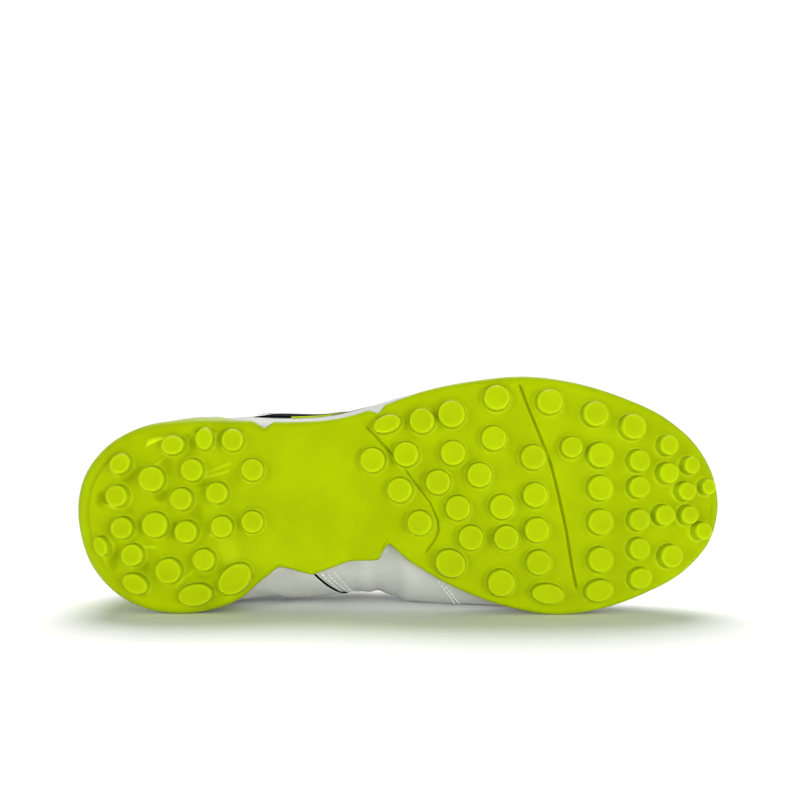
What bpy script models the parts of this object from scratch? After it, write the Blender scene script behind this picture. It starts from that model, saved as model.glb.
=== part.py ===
"""Right turf shoe, lying on its inner side as it was set down to show its sole.

The shoe is worked out in its own last frame and laid down at the end:
x runs from the heel back to the toe, y from the lateral to the medial side,
and z up from the ground that the stud tips would stand on. All in metres.
"""

import math

import bmesh
import bpy
import numpy as np
from mathutils import Matrix, Vector

# Driving sizes of the last
LAST_LENGTH = 0.2784
BALL_WIDTH = 0.0980
HEEL_SEAT = 0.0220
INSTEP_TOP = 0.0930

# Walls, edges and clearances
WALL = 0.0020
COLLAR_PAD = 0.0062
GAP = 0.0003
PANEL_GAP = 0.0005
OVERLAY = 0.0011
SOLE_LIP = 0.0035
HEEL_THICKNESS = 0.0145
EDGE_ROUND = 0.0042
RIM_HEIGHT = 0.0040
RIM_THICKNESS = 0.0013
PARTING_DEPTH = 0.0006
EDGE_BREAK = 0.0003
EDGE_FALL = 0.0005
LEAST_STEP = 0.0001
INSOLE_THICKNESS = 0.0036

# Studs
STUD_RADIUS = 0.0053
STUD_LENGTH = 0.0068
STUD_DRAFT = 0.0013
STUD_ROOT = 0.0020
STUD_SIDES = 9

# Overlays: how far the counter and the eyestay run, as shares of the turn, and
# the counter's height in front and its gain behind, as shares up the wall
COUNTER_TURN = 0.33
COUNTER_RISE = (0.34, 0.28)
STAY_RUN = (0.222, 0.778)
STAY_DEPTH = (0.74, 0.11)

# Saddle panels: rear and front of the lower edge and of the upper edge, as
# shares of LAST_LENGTH, and how far up the wall they start and end
SADDLES = {
    "lateral": ((0.262, 0.386), (0.305, 0.490), (0.30, 0.72)),
    "medial": ((0.250, 0.350), (0.330, 0.430), (0.05, 0.72)),
}

# Eyelets, tongue and lace
EYELET_PAIRS = 6
EYELET_RADIUS = 0.0019
EYELET_TURNS = (0.655, 0.455)
EYELET_LINE = 0.90
TONGUE_THICKNESS = 0.0040
TONGUE_REACH = 0.0240
TONGUE_CROWN = 0.33
TONGUE_TAPER = 0.40
TONGUE_RUN = (0.225, 0.350)
LACE_WIDTH = 0.0060
LACE_THICKNESS = 0.0014
LACE_CROWN = 0.40

# Fineness of the faceted surfaces
ROUND_STEPS = 60
WALL_STEPS = 8
LACE_STEPS = 5
FINE = 720
BROAD = 0.024

# Bottom edge of the upper seen from above, heel back first and then round by
# the medial side: share of LAST_LENGTH, share of BALL_WIDTH
FEATHER = (
    (0.000, 0.068),
    (0.004, 0.158),
    (0.020, 0.285),
    (0.056, 0.401),
    (0.107, 0.472),
    (0.160, 0.488),
    (0.204, 0.469),
    (0.241, 0.428),
    (0.273, 0.349),
    (0.304, 0.290),
    (0.352, 0.266),
    (0.408, 0.235),
    (0.455, 0.208),
    (0.484, 0.190),
    (0.503, 0.224),
    (0.535, 0.282),
    (0.590, 0.370),
    (0.667, 0.453),
    (0.752, 0.492),
    (0.820, 0.466),
    (0.882, 0.406),
    (0.951, 0.300),
    (0.988, 0.180),
    (1.000, 0.036),
    (0.993, -0.080),
    (0.970, -0.199),
    (0.920, -0.323),
    (0.850, -0.415),
    (0.772, -0.480),
    (0.696, -0.506),
    (0.618, -0.486),
    (0.540, -0.441),
    (0.471, -0.372),
    (0.402, -0.318),
    (0.328, -0.304),
    (0.240, -0.311),
    (0.161, -0.313),
    (0.093, -0.279),
    (0.043, -0.200),
    (0.010, -0.080),
)

# Steps of the sole's edge: side, share of LAST_LENGTH, step as a share of
# SOLE_LIP, out (+) or in (-). They make the arch wing and the four notches
EDGE_STEPS = {
    "medial": (
        (0.286, 0.00),
        (0.304, -0.20),
        (0.365, 1.15),
        (0.416, 0.55),
        (0.468, 1.00),
        (0.484, -0.45),
        (0.520, 0.00),
    ),
    "lateral": (
        (0.264, 0.00),
        (0.286, -0.46),
        (0.304, 0.00),
        (0.456, 0.00),
        (0.468, -0.42),
        (0.484, 0.00),
    ),
}

# Side profile of the sole: share of LAST_LENGTH, seat height as a share of
# HEEL_SEAT, thickness as a share of HEEL_THICKNESS, rim as a share of
# RIM_HEIGHT, edge rounding as a share of EDGE_ROUND
SOLE_PROFILE = (
    (0.00, 1.03, 0.78, 1.00, 1.15),
    (0.07, 1.00, 1.00, 1.00, 1.10),
    (0.20, 1.00, 1.00, 0.80, 1.00),
    (0.29, 0.98, 0.84, 0.00, 0.70),
    (0.38, 0.89, 0.59, 0.00, 0.50),
    (0.46, 0.79, 0.50, 0.00, 0.50),
    (0.56, 0.67, 0.51, 0.35, 0.60),
    (0.66, 0.63, 0.49, 0.80, 0.65),
    (0.78, 0.66, 0.50, 0.90, 0.65),
    (0.90, 0.88, 0.50, 1.00, 0.65),
    (1.00, 1.22, 0.44, 1.00, 0.65),
)

# Upper, one row for each section round the feather line. Columns: half turn
# from heel back (0) to toe tip (1); top edge along, as a share of
# LAST_LENGTH; out from the ridge and the two handles' reach, as shares of
# BALL_WIDTH; top height, lower rise and upper drop, as shares of INSTEP_TOP
UPPER_ENDS = (
    # turn, top along, top out, top up, bulge, spread, rise, drop
    (0.00, 0.018, 0.000, 0.900, 0.050, 0.045, 0.26, 0.24),
    (1.00, 0.690, 0.000, 0.745, 0.030, 0.480, 0.19, 0.12),
)
UPPER_MEDIAL = (
    (0.12, 0.033, 0.165, 0.893, 0.030, 0.040, 0.25, 0.24),
    (0.21, 0.092, 0.305, 0.845, 0.008, 0.040, 0.24, 0.24),
    (0.30, 0.188, 0.350, 0.775, 0.030, 0.070, 0.22, 0.24),
    (0.38, 0.298, 0.320, 0.860, 0.210, 0.170, 0.15, 0.28),
    (0.44, 0.382, 0.200, 0.990, 0.270, 0.300, 0.13, 0.28),
    (0.52, 0.484, 0.130, 0.945, 0.270, 0.420, 0.16, 0.20),
    (0.60, 0.574, 0.112, 0.860, 0.095, 0.410, 0.22, 0.16),
    (0.68, 0.632, 0.098, 0.797, 0.030, 0.360, 0.21, 0.14),
    (0.78, 0.667, 0.072, 0.761, 0.030, 0.350, 0.20, 0.15),
    (0.90, 0.686, 0.034, 0.747, 0.030, 0.420, 0.19, 0.14),
)
UPPER_LATERAL = (
    (0.12, 0.033, 0.165, 0.893, 0.045, 0.050, 0.25, 0.24),
    (0.21, 0.092, 0.310, 0.835, 0.070, 0.070, 0.24, 0.24),
    (0.30, 0.188, 0.350, 0.750, 0.080, 0.080, 0.22, 0.24),
    (0.38, 0.298, 0.320, 0.850, 0.138, 0.150, 0.17, 0.28),
    (0.44, 0.382, 0.195, 0.985, 0.168, 0.300, 0.17, 0.28),
    (0.52, 0.484, 0.130, 0.942, 0.090, 0.440, 0.20, 0.22),
    (0.60, 0.574, 0.112, 0.857, 0.045, 0.390, 0.22, 0.15),
    (0.68, 0.632, 0.098, 0.795, 0.030, 0.370, 0.21, 0.14),
    (0.78, 0.667, 0.072, 0.761, 0.030, 0.370, 0.20, 0.15),
    (0.90, 0.686, 0.034, 0.747, 0.030, 0.430, 0.19, 0.14),
)

# Rows of round studs. Columns: along at the middle of the last, as a share
# of LAST_LENGTH; slant and bow, the share of LAST_LENGTH gained for one and
# for one squared BALL_WIDTH across; tip radius as a share of STUD_RADIUS;
# places across, as shares of BALL_WIDTH from lateral (-) to medial (+)
STUD_ROWS = (
    (0.059, 0.000, 0.34, 0.87, (-0.005, 0.138, 0.258)),
    (0.112, 0.018, 0.19, 1.02, (-0.080, 0.124, 0.329)),
    (0.159, -0.058, 0.65, 0.89, (-0.120, 0.009, 0.155, 0.280)),
    (0.214, 0.000, 0.36, 0.87, (-0.253, -0.018, 0.133)),
    (0.269, 0.000, -0.08, 0.89, (-0.121, 0.111)),
    (0.510, 0.246, -0.40, 1.00, (-0.165, -0.031, 0.116)),
    (0.580, 0.264, -0.48, 1.00, (-0.191, -0.066, 0.049, 0.182)),
    (0.653, 0.211, -0.72, 1.00, (-0.196, -0.098, 0.044, 0.182)),
    (0.648, 0.000, 0.00, 1.00, (-0.262,)),
    (0.713, 0.018, 0.00, 1.00, (-0.177, -0.009, 0.147, 0.292)),
    (0.770, 0.000, 0.00, 0.85, (-0.222,)),
    (0.814, 0.000, 0.00, 1.02, (-0.187, -0.040, 0.111, 0.280)),
    (0.875, 0.000, 0.00, 0.87, (-0.163, -0.044, 0.102, 0.232)),
    (0.918, -0.034, 0.00, 0.83, (-0.108, 0.081)),
    (0.952, 0.044, 0.00, 0.75, (-0.027, 0.081)),
)

# Studs that follow the edge. Columns: share of LAST_LENGTH; then, as shares of
# STUD_RADIUS, distance in from the edge, half length along it, half width
EDGE_STUDS = {
    "medial": (
        (0.013, 1.85, 0.79, 0.53),
        (0.077, 1.74, 1.06, 0.75),
        (0.183, 1.53, 1.36, 0.87),
        (0.253, 1.58, 1.51, 1.06),
        (0.571, 1.64, 1.25, 1.09),
        (0.653, 1.80, 1.08, 1.08),
        (0.730, 1.74, 1.28, 0.79),
        (0.816, 1.63, 1.13, 0.87),
        (0.883, 1.48, 0.94, 0.83),
        (0.940, 1.94, 0.94, 0.94),
        (0.990, 1.32, 0.72, 0.72),
    ),
    "lateral": (
        (0.046, 2.06, 0.87, 0.75),
        (0.142, 2.11, 0.91, 0.75),
        (0.195, 1.72, 0.68, 0.87),
        (0.476, 1.47, 1.13, 0.68),
        (0.526, 2.41, 1.00, 1.00),
        (0.575, 2.47, 1.08, 1.08),
        (0.650, 1.74, 1.04, 0.98),
        (0.739, 2.03, 1.04, 0.98),
        (0.815, 2.20, 1.04, 0.98),
        (0.876, 2.11, 1.02, 1.00),
        (0.937, 1.98, 0.79, 0.79),
        (0.976, 1.73, 0.68, 0.68),
        (0.996, 1.10, 0.60, 0.60),
    ),
}


def hermite(knots, rows, at):
    """Cubic through the rows, with each row's slope from its two neighbours."""
    knots = np.asarray(knots, float)
    rows = np.asarray(rows, float)
    step = np.diff(knots)[:, None]
    slope = np.diff(rows, axis=0) / step
    inner = (slope[:-1] * step[1:] + slope[1:] * step[:-1]) / (step[1:] + step[:-1])
    tangent = np.vstack([slope[:1], inner, slope[-1:]])
    at = np.asarray(at, float)
    i = np.clip(np.searchsorted(knots, at, side="right") - 1, 0, len(knots) - 2)
    h = step[i]
    t = ((at - knots[i]) / h[:, 0])[:, None]
    t2, t3 = t * t, t * t * t
    near = (2 * t3 - 3 * t2 + 1) * rows[i] + (t3 - 2 * t2 + t) * h * tangent[i]
    far = (3 * t2 - 2 * t3) * rows[i + 1] + (t3 - t2) * h * tangent[i + 1]
    return near + far


def hermite_loop(knots, rows, at, period=1.0):
    """The same cubic round a closed loop: three rows are repeated past each end."""
    knots = np.asarray(knots, float)
    rows = np.asarray(rows, float)
    knots = np.concatenate([knots[-3:] - period, knots, knots[:3] + period])
    rows = np.vstack([rows[-3:], rows, rows[:3]])
    return hermite(knots, rows, np.mod(at, period))


def smooth_step(low, high, value):
    """0 below low, 1 above high, and a smooth rise between."""
    t = np.clip((value - low) / (high - low), 0, 1)
    return t * t * (3 - 2 * t)


def turn_of(g):
    """Half turn, 0 at the heel back to 1 at the toe tip, of a place g round the loop."""
    return 1 - np.abs(1 - 2 * np.mod(g, 1.0))


def place_of(side, along):
    """Place g round the loop of a share of LAST_LENGTH on one side."""
    turn = np.arccos(1 - 2 * np.clip(along, 0, 1)) / math.pi
    return turn / 2 if side == "medial" else 1 - turn / 2


def trace_feather():
    """Feather line at FINE even places g, with its outward normals, as four columns."""
    points = np.array(FEATHER) * (LAST_LENGTH, BALL_WIDTH)
    chord = np.linalg.norm(np.diff(np.vstack([points, points[:1]]), axis=0), axis=1)
    knots = np.concatenate([[0], np.cumsum(chord)[:-1]])
    dense = hermite_loop(knots, points, np.linspace(0, chord.sum(), 4 * FINE), chord.sum())
    dense[:, 0] = np.clip(dense[:, 0], 0, LAST_LENGTH)
    tip = int(np.argmax(dense[:, 0]))
    g = np.arange(FINE) / FINE
    along = LAST_LENGTH * (1 - np.cos(math.pi * turn_of(g))) / 2
    medial = np.interp(along, dense[: tip + 1, 0], dense[: tip + 1, 1])
    lateral = np.interp(along, dense[tip:][::-1, 0], dense[tip:][::-1, 1])
    across = np.where(g <= 0.5, medial, lateral)
    ease = np.array([1, 2, 3, 2, 1]) / 9
    across = sum(w * np.roll(across, k - 2) for k, w in enumerate(ease))
    dx = np.roll(along, -3) - np.roll(along, 3)
    dy = np.roll(across, -3) - np.roll(across, 3)
    size = np.hypot(dx, dy)
    return np.column_stack([along, across, -dy / size, dx / size])


FEATHER_FINE = trace_feather()


def feather(g):
    """Point and outward normal of the feather line at places g."""
    at = np.mod(np.asarray(g, float), 1.0) * FINE
    rows = np.vstack([FEATHER_FINE, FEATHER_FINE[:1]])
    low = np.floor(at).astype(int)
    share = (at - low)[:, None]
    found = rows[low] * (1 - share) + rows[low + 1] * share
    return found[:, :2], found[:, 2:] / np.linalg.norm(found[:, 2:], axis=1)[:, None]


def sole_heights(x):
    """Seat height, underside height, rim height and edge rounding at x."""
    rows = np.array(SOLE_PROFILE)
    sizes = (HEEL_SEAT, HEEL_THICKNESS, RIM_HEIGHT, EDGE_ROUND)
    share = np.clip(np.asarray(x, float) / LAST_LENGTH, 0, 1)
    found = hermite(rows[:, 0], rows[:, 1:], share.ravel()) * sizes
    seat, thickness, rim, rounding = found.T.reshape(4, *share.shape)
    return seat, seat - thickness, np.maximum(rim, LEAST_STEP), rounding


def sole_edge(g):
    """Points of the sole's outermost edge at places g, seen from above."""
    point, normal = feather(g)
    share = point[:, 0] / LAST_LENGTH
    steps = {side: np.array(rows).T for side, rows in EDGE_STEPS.items()}
    medial = np.interp(share, *steps["medial"])
    lateral = np.interp(share, *steps["lateral"])
    step = np.where(np.mod(g, 1.0) <= 0.5, medial, lateral)
    return point + normal * (SOLE_LIP * (1 + step))[:, None]


def upper_rows():
    """The sections of the upper as one loop: places and rows."""
    heel, toe = UPPER_ENDS
    medial = [(row[0] / 2, row[1:], 1) for row in UPPER_MEDIAL]
    lateral = [(1 - row[0] / 2, row[1:], -1) for row in reversed(UPPER_LATERAL)]
    loop = [(0.0, heel[1:], 1), *medial, (0.5, toe[1:], 1), *lateral]
    places = [place for place, _, _ in loop]
    rows = []
    for _, (along, out, up, bulge, spread, rise, drop), side in loop:
        rows.append((along, side * out, up, bulge, spread, rise, drop))
    return places, rows


def ridge(x):
    """Across place of the ridge line, from the heel back to the toe tip."""
    heel, toe = FEATHER_FINE[0, 1], FEATHER_FINE[FINE // 2, 1]
    return heel + (toe - heel) * x / LAST_LENGTH


def top_line(g):
    """Top edge of the upper at places g, and the rows' handles in metres."""
    places, rows = upper_rows()
    found = hermite_loop(places, rows, g)
    x = found[:, 0] * LAST_LENGTH
    y = ridge(x) + found[:, 1] * BALL_WIDTH
    z = found[:, 2] * INSTEP_TOP
    handles = found[:, 3:] * (BALL_WIDTH, BALL_WIDTH, INSTEP_TOP, INSTEP_TOP)
    return np.column_stack([x, y, z]), handles


def broad_normal(g):
    """Outward normal of the feather line, evened out over a stretch to each side."""
    total = sum(feather(g + shift)[1] for shift in np.linspace(-BROAD, BROAD, 9))
    return total / np.linalg.norm(total, axis=1)[:, None]


def wall_curve(g, v):
    """Outer face of the upper: a cubic arc from feather line (v 0) to top edge (v 1)."""
    g, v = np.broadcast_arrays(np.asarray(g, float), np.asarray(v, float))
    shape = g.shape
    g, v = g.ravel(), v.ravel()[:, None]
    foot = feather(g)[0]
    seat = sole_heights(foot[:, 0])[0] + GAP
    top, handles = top_line(g)
    bulge, spread, rise, drop = handles.T
    near = 1e-3
    ahead, behind = top_line(g + near)[0], top_line(g - near)[0]
    run = ahead[:, :2] - behind[:, :2]
    away = np.column_stack([-run[:, 1], run[:, 0]])
    away /= np.linalg.norm(away, axis=1)[:, None]
    start = np.column_stack([foot, seat])
    low = np.column_stack([foot + broad_normal(g) * bulge[:, None], seat + rise])
    high = np.column_stack([top[:, :2] + away * spread[:, None], top[:, 2] - drop])
    w = 1 - v
    curve = w**3 * start + 3 * w**2 * v * low + 3 * w * v**2 * high + v**3 * top
    return curve.reshape(*shape, 3)


def wall_normal(g, v):
    """Outward unit normal of the upper's outer face."""
    g, v = np.broadcast_arrays(np.asarray(g, float), np.asarray(v, float))
    near = 2e-3
    low, high = np.clip(v - near, 0, 1), np.clip(v + near, 0, 1)
    along = wall_curve(g + near, v) - wall_curve(g - near, v)
    up = wall_curve(g, high) - wall_curve(g, low)
    normal = np.cross(up, along)
    return normal / np.linalg.norm(normal, axis=-1)[..., None]


def trace_upper():
    """Corners of the upper's outer facets and their normals, round and up."""
    g = (np.arange(ROUND_STEPS) / ROUND_STEPS)[:, None]
    v = (np.arange(WALL_STEPS + 1) / WALL_STEPS)[None, :]
    return wall_curve(g, v), wall_normal(g, v)


FACET_POINTS, FACET_NORMALS = trace_upper()


def upper_point(g, v, out=0.0):
    """Point on the upper's outer facets, moved out along their normal by out."""
    g, v = np.broadcast_arrays(np.asarray(g, float), np.asarray(v, float))
    a = np.mod(g, 1.0) * ROUND_STEPS
    i = np.floor(a).astype(int)
    b = np.clip(v, 0, 1) * WALL_STEPS
    j = np.minimum(np.floor(b).astype(int), WALL_STEPS - 1)
    s, t = (a - i)[..., None], (b - j)[..., None]
    i, n = i % ROUND_STEPS, (i + 1) % ROUND_STEPS
    found = []
    for grid in (FACET_POINTS, FACET_NORMALS):
        low = grid[i, j] * (1 - s) + grid[n, j] * s
        high = grid[i, j + 1] * (1 - s) + grid[n, j + 1] * s
        found.append(low * (1 - t) + high * t)
    return found[0] + found[1] * np.asarray(out, float)[..., None]


def facet_places(low, high):
    """Places from low to high: both ends and the facet lines between them."""
    lines = np.arange(math.floor(low * ROUND_STEPS) + 1, math.ceil(high * ROUND_STEPS))
    lines = lines / ROUND_STEPS
    edge = 0.2 / ROUND_STEPS
    lines = lines[(lines > low + edge) & (lines < high - edge)]
    return np.concatenate([[low], lines, [high]])


def wall_share(g, height):
    """Share v where the upper's outer face reaches that height over the seat."""
    g = np.asarray(g, float)
    seat = upper_point(g, 0.0)[..., 2]
    low, high = np.zeros_like(g), np.full_like(g, 0.5)
    for _ in range(24):
        middle = (low + high) / 2
        over = upper_point(g, middle)[..., 2] - seat > height
        high = np.where(over, middle, high)
        low = np.where(over, low, middle)
    return low


def make_object(name, bm, colour, roughness):
    """Object from a bmesh, with its own material. The last frame stays in the mesh."""
    mesh = bpy.data.meshes.new(name)
    bm.to_mesh(mesh)
    bm.free()
    mesh.shade_smooth()
    mesh.set_sharp_from_angle(angle=math.radians(40))
    material = bpy.data.materials.new(name)
    material.use_nodes = True
    shader = material.node_tree.nodes["Principled BSDF"]
    shader.inputs["Base Color"].default_value = (*colour, 1.0)
    shader.inputs["Roughness"].default_value = roughness
    shader.inputs["Metallic"].default_value = 0.0
    mesh.materials.append(material)
    obj = bpy.data.objects.new(name, mesh)
    bpy.context.scene.collection.objects.link(obj)
    return obj


def split_hollow(bm):
    """Faces outward, and each twisted quad split so that it dishes in, not out."""
    bmesh.ops.recalc_face_normals(bm, faces=bm.faces)
    for face in [f for f in bm.faces if len(f.verts) == 4]:
        a, b, c, d = face.verts
        swell = (b.co - a.co).cross(c.co - a.co).dot(d.co - a.co)
        if swell >= 0:
            bmesh.utils.face_split(face, a, c)
        else:
            bmesh.utils.face_split(face, b, d)
    return bm


def bridge_grid(points, wrap_rows, wrap_columns):
    """Closed skin of quads over a grid of points, with doubled points made one."""
    rows, columns, _ = points.shape
    bm = bmesh.new()
    verts = [[bm.verts.new(p) for p in row] for row in points.tolist()]
    for i in range(rows if wrap_rows else rows - 1):
        for j in range(columns if wrap_columns else columns - 1):
            a, b = verts[i][j], verts[i][(j + 1) % columns]
            c, d = verts[(i + 1) % rows][(j + 1) % columns], verts[(i + 1) % rows][j]
            bm.faces.new((a, b, c, d))
    bmesh.ops.remove_doubles(bm, verts=bm.verts, dist=1e-6)
    return split_hollow(bm)


def patch_solid(inner, outer):
    """Closed sheet between two grids of points: both faces and the edge all round."""
    rows, columns, _ = inner.shape
    bm = bmesh.new()
    low = [[bm.verts.new(p) for p in row] for row in inner.tolist()]
    high = [[bm.verts.new(p) for p in row] for row in outer.tolist()]
    for i in range(rows - 1):
        for j in range(columns - 1):
            bm.faces.new((low[i][j], low[i + 1][j], low[i + 1][j + 1], low[i][j + 1]))
            bm.faces.new((high[i][j], high[i][j + 1], high[i + 1][j + 1], high[i + 1][j]))
    loop = [(i, 0) for i in range(rows)] + [(rows - 1, j) for j in range(1, columns)]
    loop += [(i, columns - 1) for i in range(rows - 2, -1, -1)]
    loop += [(0, j) for j in range(columns - 2, 0, -1)]
    for (i, j), (k, m) in zip(loop, loop[1:] + loop[:1]):
        bm.faces.new((low[i][j], high[i][j], high[k][m], low[k][m]))
    return split_hollow(bm)


def run_boolean(obj, cutter, operation):
    """Joins or cuts the object with a helper, and removes the helper."""
    modifier = obj.modifiers.new(operation, "BOOLEAN")
    modifier.operation = operation
    modifier.solver = "EXACT"
    modifier.use_self = operation == "UNION"
    modifier.object = cutter
    graph = bpy.context.evaluated_depsgraph_get()
    result = bpy.data.meshes.new_from_object(obj.evaluated_get(graph))
    obj.modifiers.remove(modifier)
    obj.data = result
    bpy.data.objects.remove(cutter)


def helper_object(name, bm):
    """Object that only cuts or joins, hidden from the render."""
    mesh = bpy.data.meshes.new(name)
    bm.to_mesh(mesh)
    bm.free()
    obj = bpy.data.objects.new(name, mesh)
    obj.hide_render = True
    obj.display_type = "WIRE"
    bpy.context.scene.collection.objects.link(obj)
    return obj


def collar_share(g):
    """1 round the ankle opening and 0 along the throat and over the toe."""
    return 1 - smooth_step(0.36, 0.44, turn_of(g))


def wall_depth(g, v):
    """Thickness of the upper's wall: leather and lining, and a pad round the collar."""
    pad = collar_share(g) * smooth_step(0.45, 0.85, v)
    return WALL + (COLLAR_PAD - WALL) * pad


def make_upper():
    """Hollow upper, open at the collar, the throat and under the foot."""
    g = (np.arange(ROUND_STEPS) / ROUND_STEPS)[:, None]
    v = (np.arange(WALL_STEPS + 1) / WALL_STEPS)[None, :]
    depth = wall_depth(g, v)
    outer, inner = FACET_POINTS, FACET_POINTS - FACET_NORMALS * depth[..., None]
    inner[:, 0, 2] = outer[:, 0, 2]
    crest = (outer[:, -1:] + inner[:, -1:]) / 2
    crest[..., 2] += 0.35 * depth[:, -1:]
    skin = np.concatenate([outer, crest, inner[:, ::-1]], axis=1)
    return make_object("upper", bridge_grid(skin, True, True), (0.80, 0.80, 0.78), 0.5)


def sole_rows():
    """Places along the sole, on the upper's facet lines and each notch's corner."""
    even = (1 - np.cos(np.linspace(0, math.pi, ROUND_STEPS // 2 + 1))) / 2
    marked = {row[0] for rows in EDGE_STEPS.values() for row in rows}
    clear = {s for s in even if min(abs(s - m) for m in marked) > 0.004}
    return np.array(sorted(clear | marked))


def side_section(g):
    """Sole's side from underside to seat at places g: rounding, parting step, rim."""
    foot, out = feather(g)
    seat, under, rim, rounding = sole_heights(foot[:, 0])
    edge = sole_edge(g)
    wall = seat - under
    rounding = np.minimum(rounding, 0.55 * wall)
    columns = [np.column_stack([edge - out * (1.9 * rounding)[:, None], under])]
    for degrees in (28, 58, 90):
        sine, cosine = math.sin(math.radians(degrees)), math.cos(math.radians(degrees))
        plan = edge - out * (rounding * (1 - sine))[:, None]
        columns.append(np.column_stack([plan, under + rounding * (1 - cosine)]))
    parting = under + rounding + 0.28 * (wall - rounding)
    columns.append(np.column_stack([edge, parting]))
    columns.append(np.column_stack([edge - out * PARTING_DEPTH, parting + PARTING_DEPTH]))
    share = wall_share(g, rim)
    lip = upper_point(g, share, 1.5 * GAP)[:, :2]
    reach = np.einsum("ij,ij->i", lip - foot, out)
    room = np.einsum("ij,ij->i", edge - foot, out) - PARTING_DEPTH
    room = np.maximum(room, RIM_THICKNESS)
    bare = 1 - smooth_step(0.1 * RIM_HEIGHT, 0.5 * RIM_HEIGHT, rim)
    inner = np.einsum("ij,ij->i", upper_point(g, 0.0, 0.0)[:, :2] - foot, out) + GAP
    inner = np.minimum(inner, room - 0.5 * RIM_THICKNESS)
    reach = np.minimum(reach * (1 - bare) + inner * bare, room - 0.5 * RIM_THICKNESS)
    shoulder = np.minimum(reach + RIM_THICKNESS, room)
    shoulder = np.maximum(shoulder * (1 - bare) + (room - EDGE_BREAK) * bare, reach + LEAST_STEP)
    top = seat + rim - EDGE_FALL * bare
    columns.append(np.column_stack([foot + out * shoulder[:, None], top - EDGE_BREAK]))
    columns.append(np.column_stack([foot + out * reach[:, None], top]))
    half = upper_point(g, share / 2, 1.5 * GAP)[:, :2]
    half_reach = np.einsum("ij,ij->i", half - foot, out)
    half_reach = np.minimum(half_reach * (1 - bare) + (inner - LEAST_STEP) * bare, reach)
    columns.append(np.column_stack([foot + out * half_reach[:, None], seat + rim / 2]))
    columns.append(np.column_stack([foot + out * (inner - 2 * LEAST_STEP)[:, None], seat]))
    return np.stack(columns, axis=1)


def across_run(start, end, count, level):
    """Points from one side section to the other, at the sole's own level."""
    share = (np.arange(1, count) / count)[None, :, None]
    run = start[:, None, :] * (1 - share) + end[:, None, :] * share
    run[..., 2] = level(run[..., 0])
    return run


def make_sole():
    """Moulded outsole: base plate, rim, arch wing, notches and all its studs."""
    along = sole_rows()
    medial = side_section(place_of("medial", along))
    lateral = side_section(place_of("lateral", along))
    for end in (0, -1):
        middle = (medial[end] + lateral[end]) / 2
        medial[end], lateral[end] = middle, middle
    seat_run = across_run(medial[:, -1], lateral[:, -1], 3, lambda x: sole_heights(x)[0])
    under_run = across_run(lateral[:, 0], medial[:, 0], 4, lambda x: sole_heights(x)[1])
    skin = np.concatenate([medial, seat_run, lateral[:, ::-1], under_run], axis=1)
    sole = make_object("outsole", bridge_grid(skin, False, True), (0.43, 0.57, 0.0), 0.45)
    studs = bmesh.new()
    for centre, turn, half_length, half_width in stud_places():
        add_stud(studs, centre, turn, half_length, half_width)
    run_boolean(sole, helper_object("studs", studs), "UNION")
    return sole


def stud_places():
    """Centre in plan, heading and two half sizes of each stud."""
    places = []
    for along, slant, bow, radius, across in STUD_ROWS:
        for place in across:
            x = LAST_LENGTH * (along + slant * place + bow * place**2)
            size = radius * STUD_RADIUS
            places.append((np.array([x, place * BALL_WIDTH]), 0.0, size, size))
    for side, rows in EDGE_STUDS.items():
        for along, inset, half_length, half_width in rows:
            g = np.array([float(place_of(side, along))])
            normal = feather(g)[1][0]
            centre = sole_edge(g)[0] - normal * inset * STUD_RADIUS
            heading = math.atan2(-normal[0], normal[1])
            half = (half_length * STUD_RADIUS, half_width * STUD_RADIUS)
            places.append((centre, heading, *half))
    return places


def add_stud(bm, centre, heading, half_length, half_width):
    """One stud square to the underside: a drafted round post with a flat tip."""
    x = np.array([centre[0]])
    slope_run = 0.004
    under = sole_heights(x)[1][0]
    rise = sole_heights(x + slope_run)[1][0] - sole_heights(x - slope_run)[1][0]
    flat = under < STUD_LENGTH * 1.15
    tilt = 0.0 if flat else 0.75 * math.atan2(rise, 2 * slope_run)
    length = under if flat else STUD_LENGTH
    frame = Matrix.Translation((*centre, under)) @ Matrix.Rotation(-tilt, 4, "Y")
    frame = frame @ Matrix.Rotation(heading, 4, "Z")
    rings = ((STUD_ROOT, STUD_DRAFT), (-length, 0.0))
    loops = []
    for height, grow in rings:
        loop = []
        for k in range(STUD_SIDES):
            angle = 2 * math.pi * k / STUD_SIDES
            spot = Vector((
                (half_length + grow) * math.cos(angle),
                (half_width + grow) * math.sin(angle),
                height,
            ))
            loop.append(bm.verts.new(frame @ spot))
        loops.append(loop)
    for upper, lower in zip(loops, loops[1:]):
        for k in range(STUD_SIDES):
            n = (k + 1) % STUD_SIDES
            bm.faces.new((upper[k], lower[k], lower[n], upper[n]))
    bm.faces.new(loops[0])
    bm.faces.new(loops[-1][::-1])


def make_insole():
    """Loose footbed inside the upper, on the sole's seat."""
    along = (1 - np.cos(np.linspace(0, math.pi, 23))) / 2
    inset = WALL + 2 * GAP
    edges = []
    for side in ("medial", "lateral"):
        foot, out = feather(place_of(side, along))
        edges.append(foot - out * inset)
    middle = [(edges[0][end] + edges[1][end]) / 2 for end in (0, -1)]
    for edge in edges:
        edge[0], edge[-1] = middle
    share = np.linspace(0, 1, 5)[None, :, None]
    plan = edges[0][:, None, :] * (1 - share) + edges[1][:, None, :] * share
    seat = sole_heights(plan[..., 0].ravel())[0].reshape(plan.shape[:2])
    low = np.concatenate([plan, (seat + GAP)[..., None]], axis=2)
    high = np.concatenate([plan, (seat + GAP + INSOLE_THICKNESS)[..., None]], axis=2)
    skin = np.concatenate([low, high[:, ::-1]], axis=1)
    return make_object("insole", bridge_grid(skin, False, True), (0.03, 0.03, 0.03), 0.9)


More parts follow.
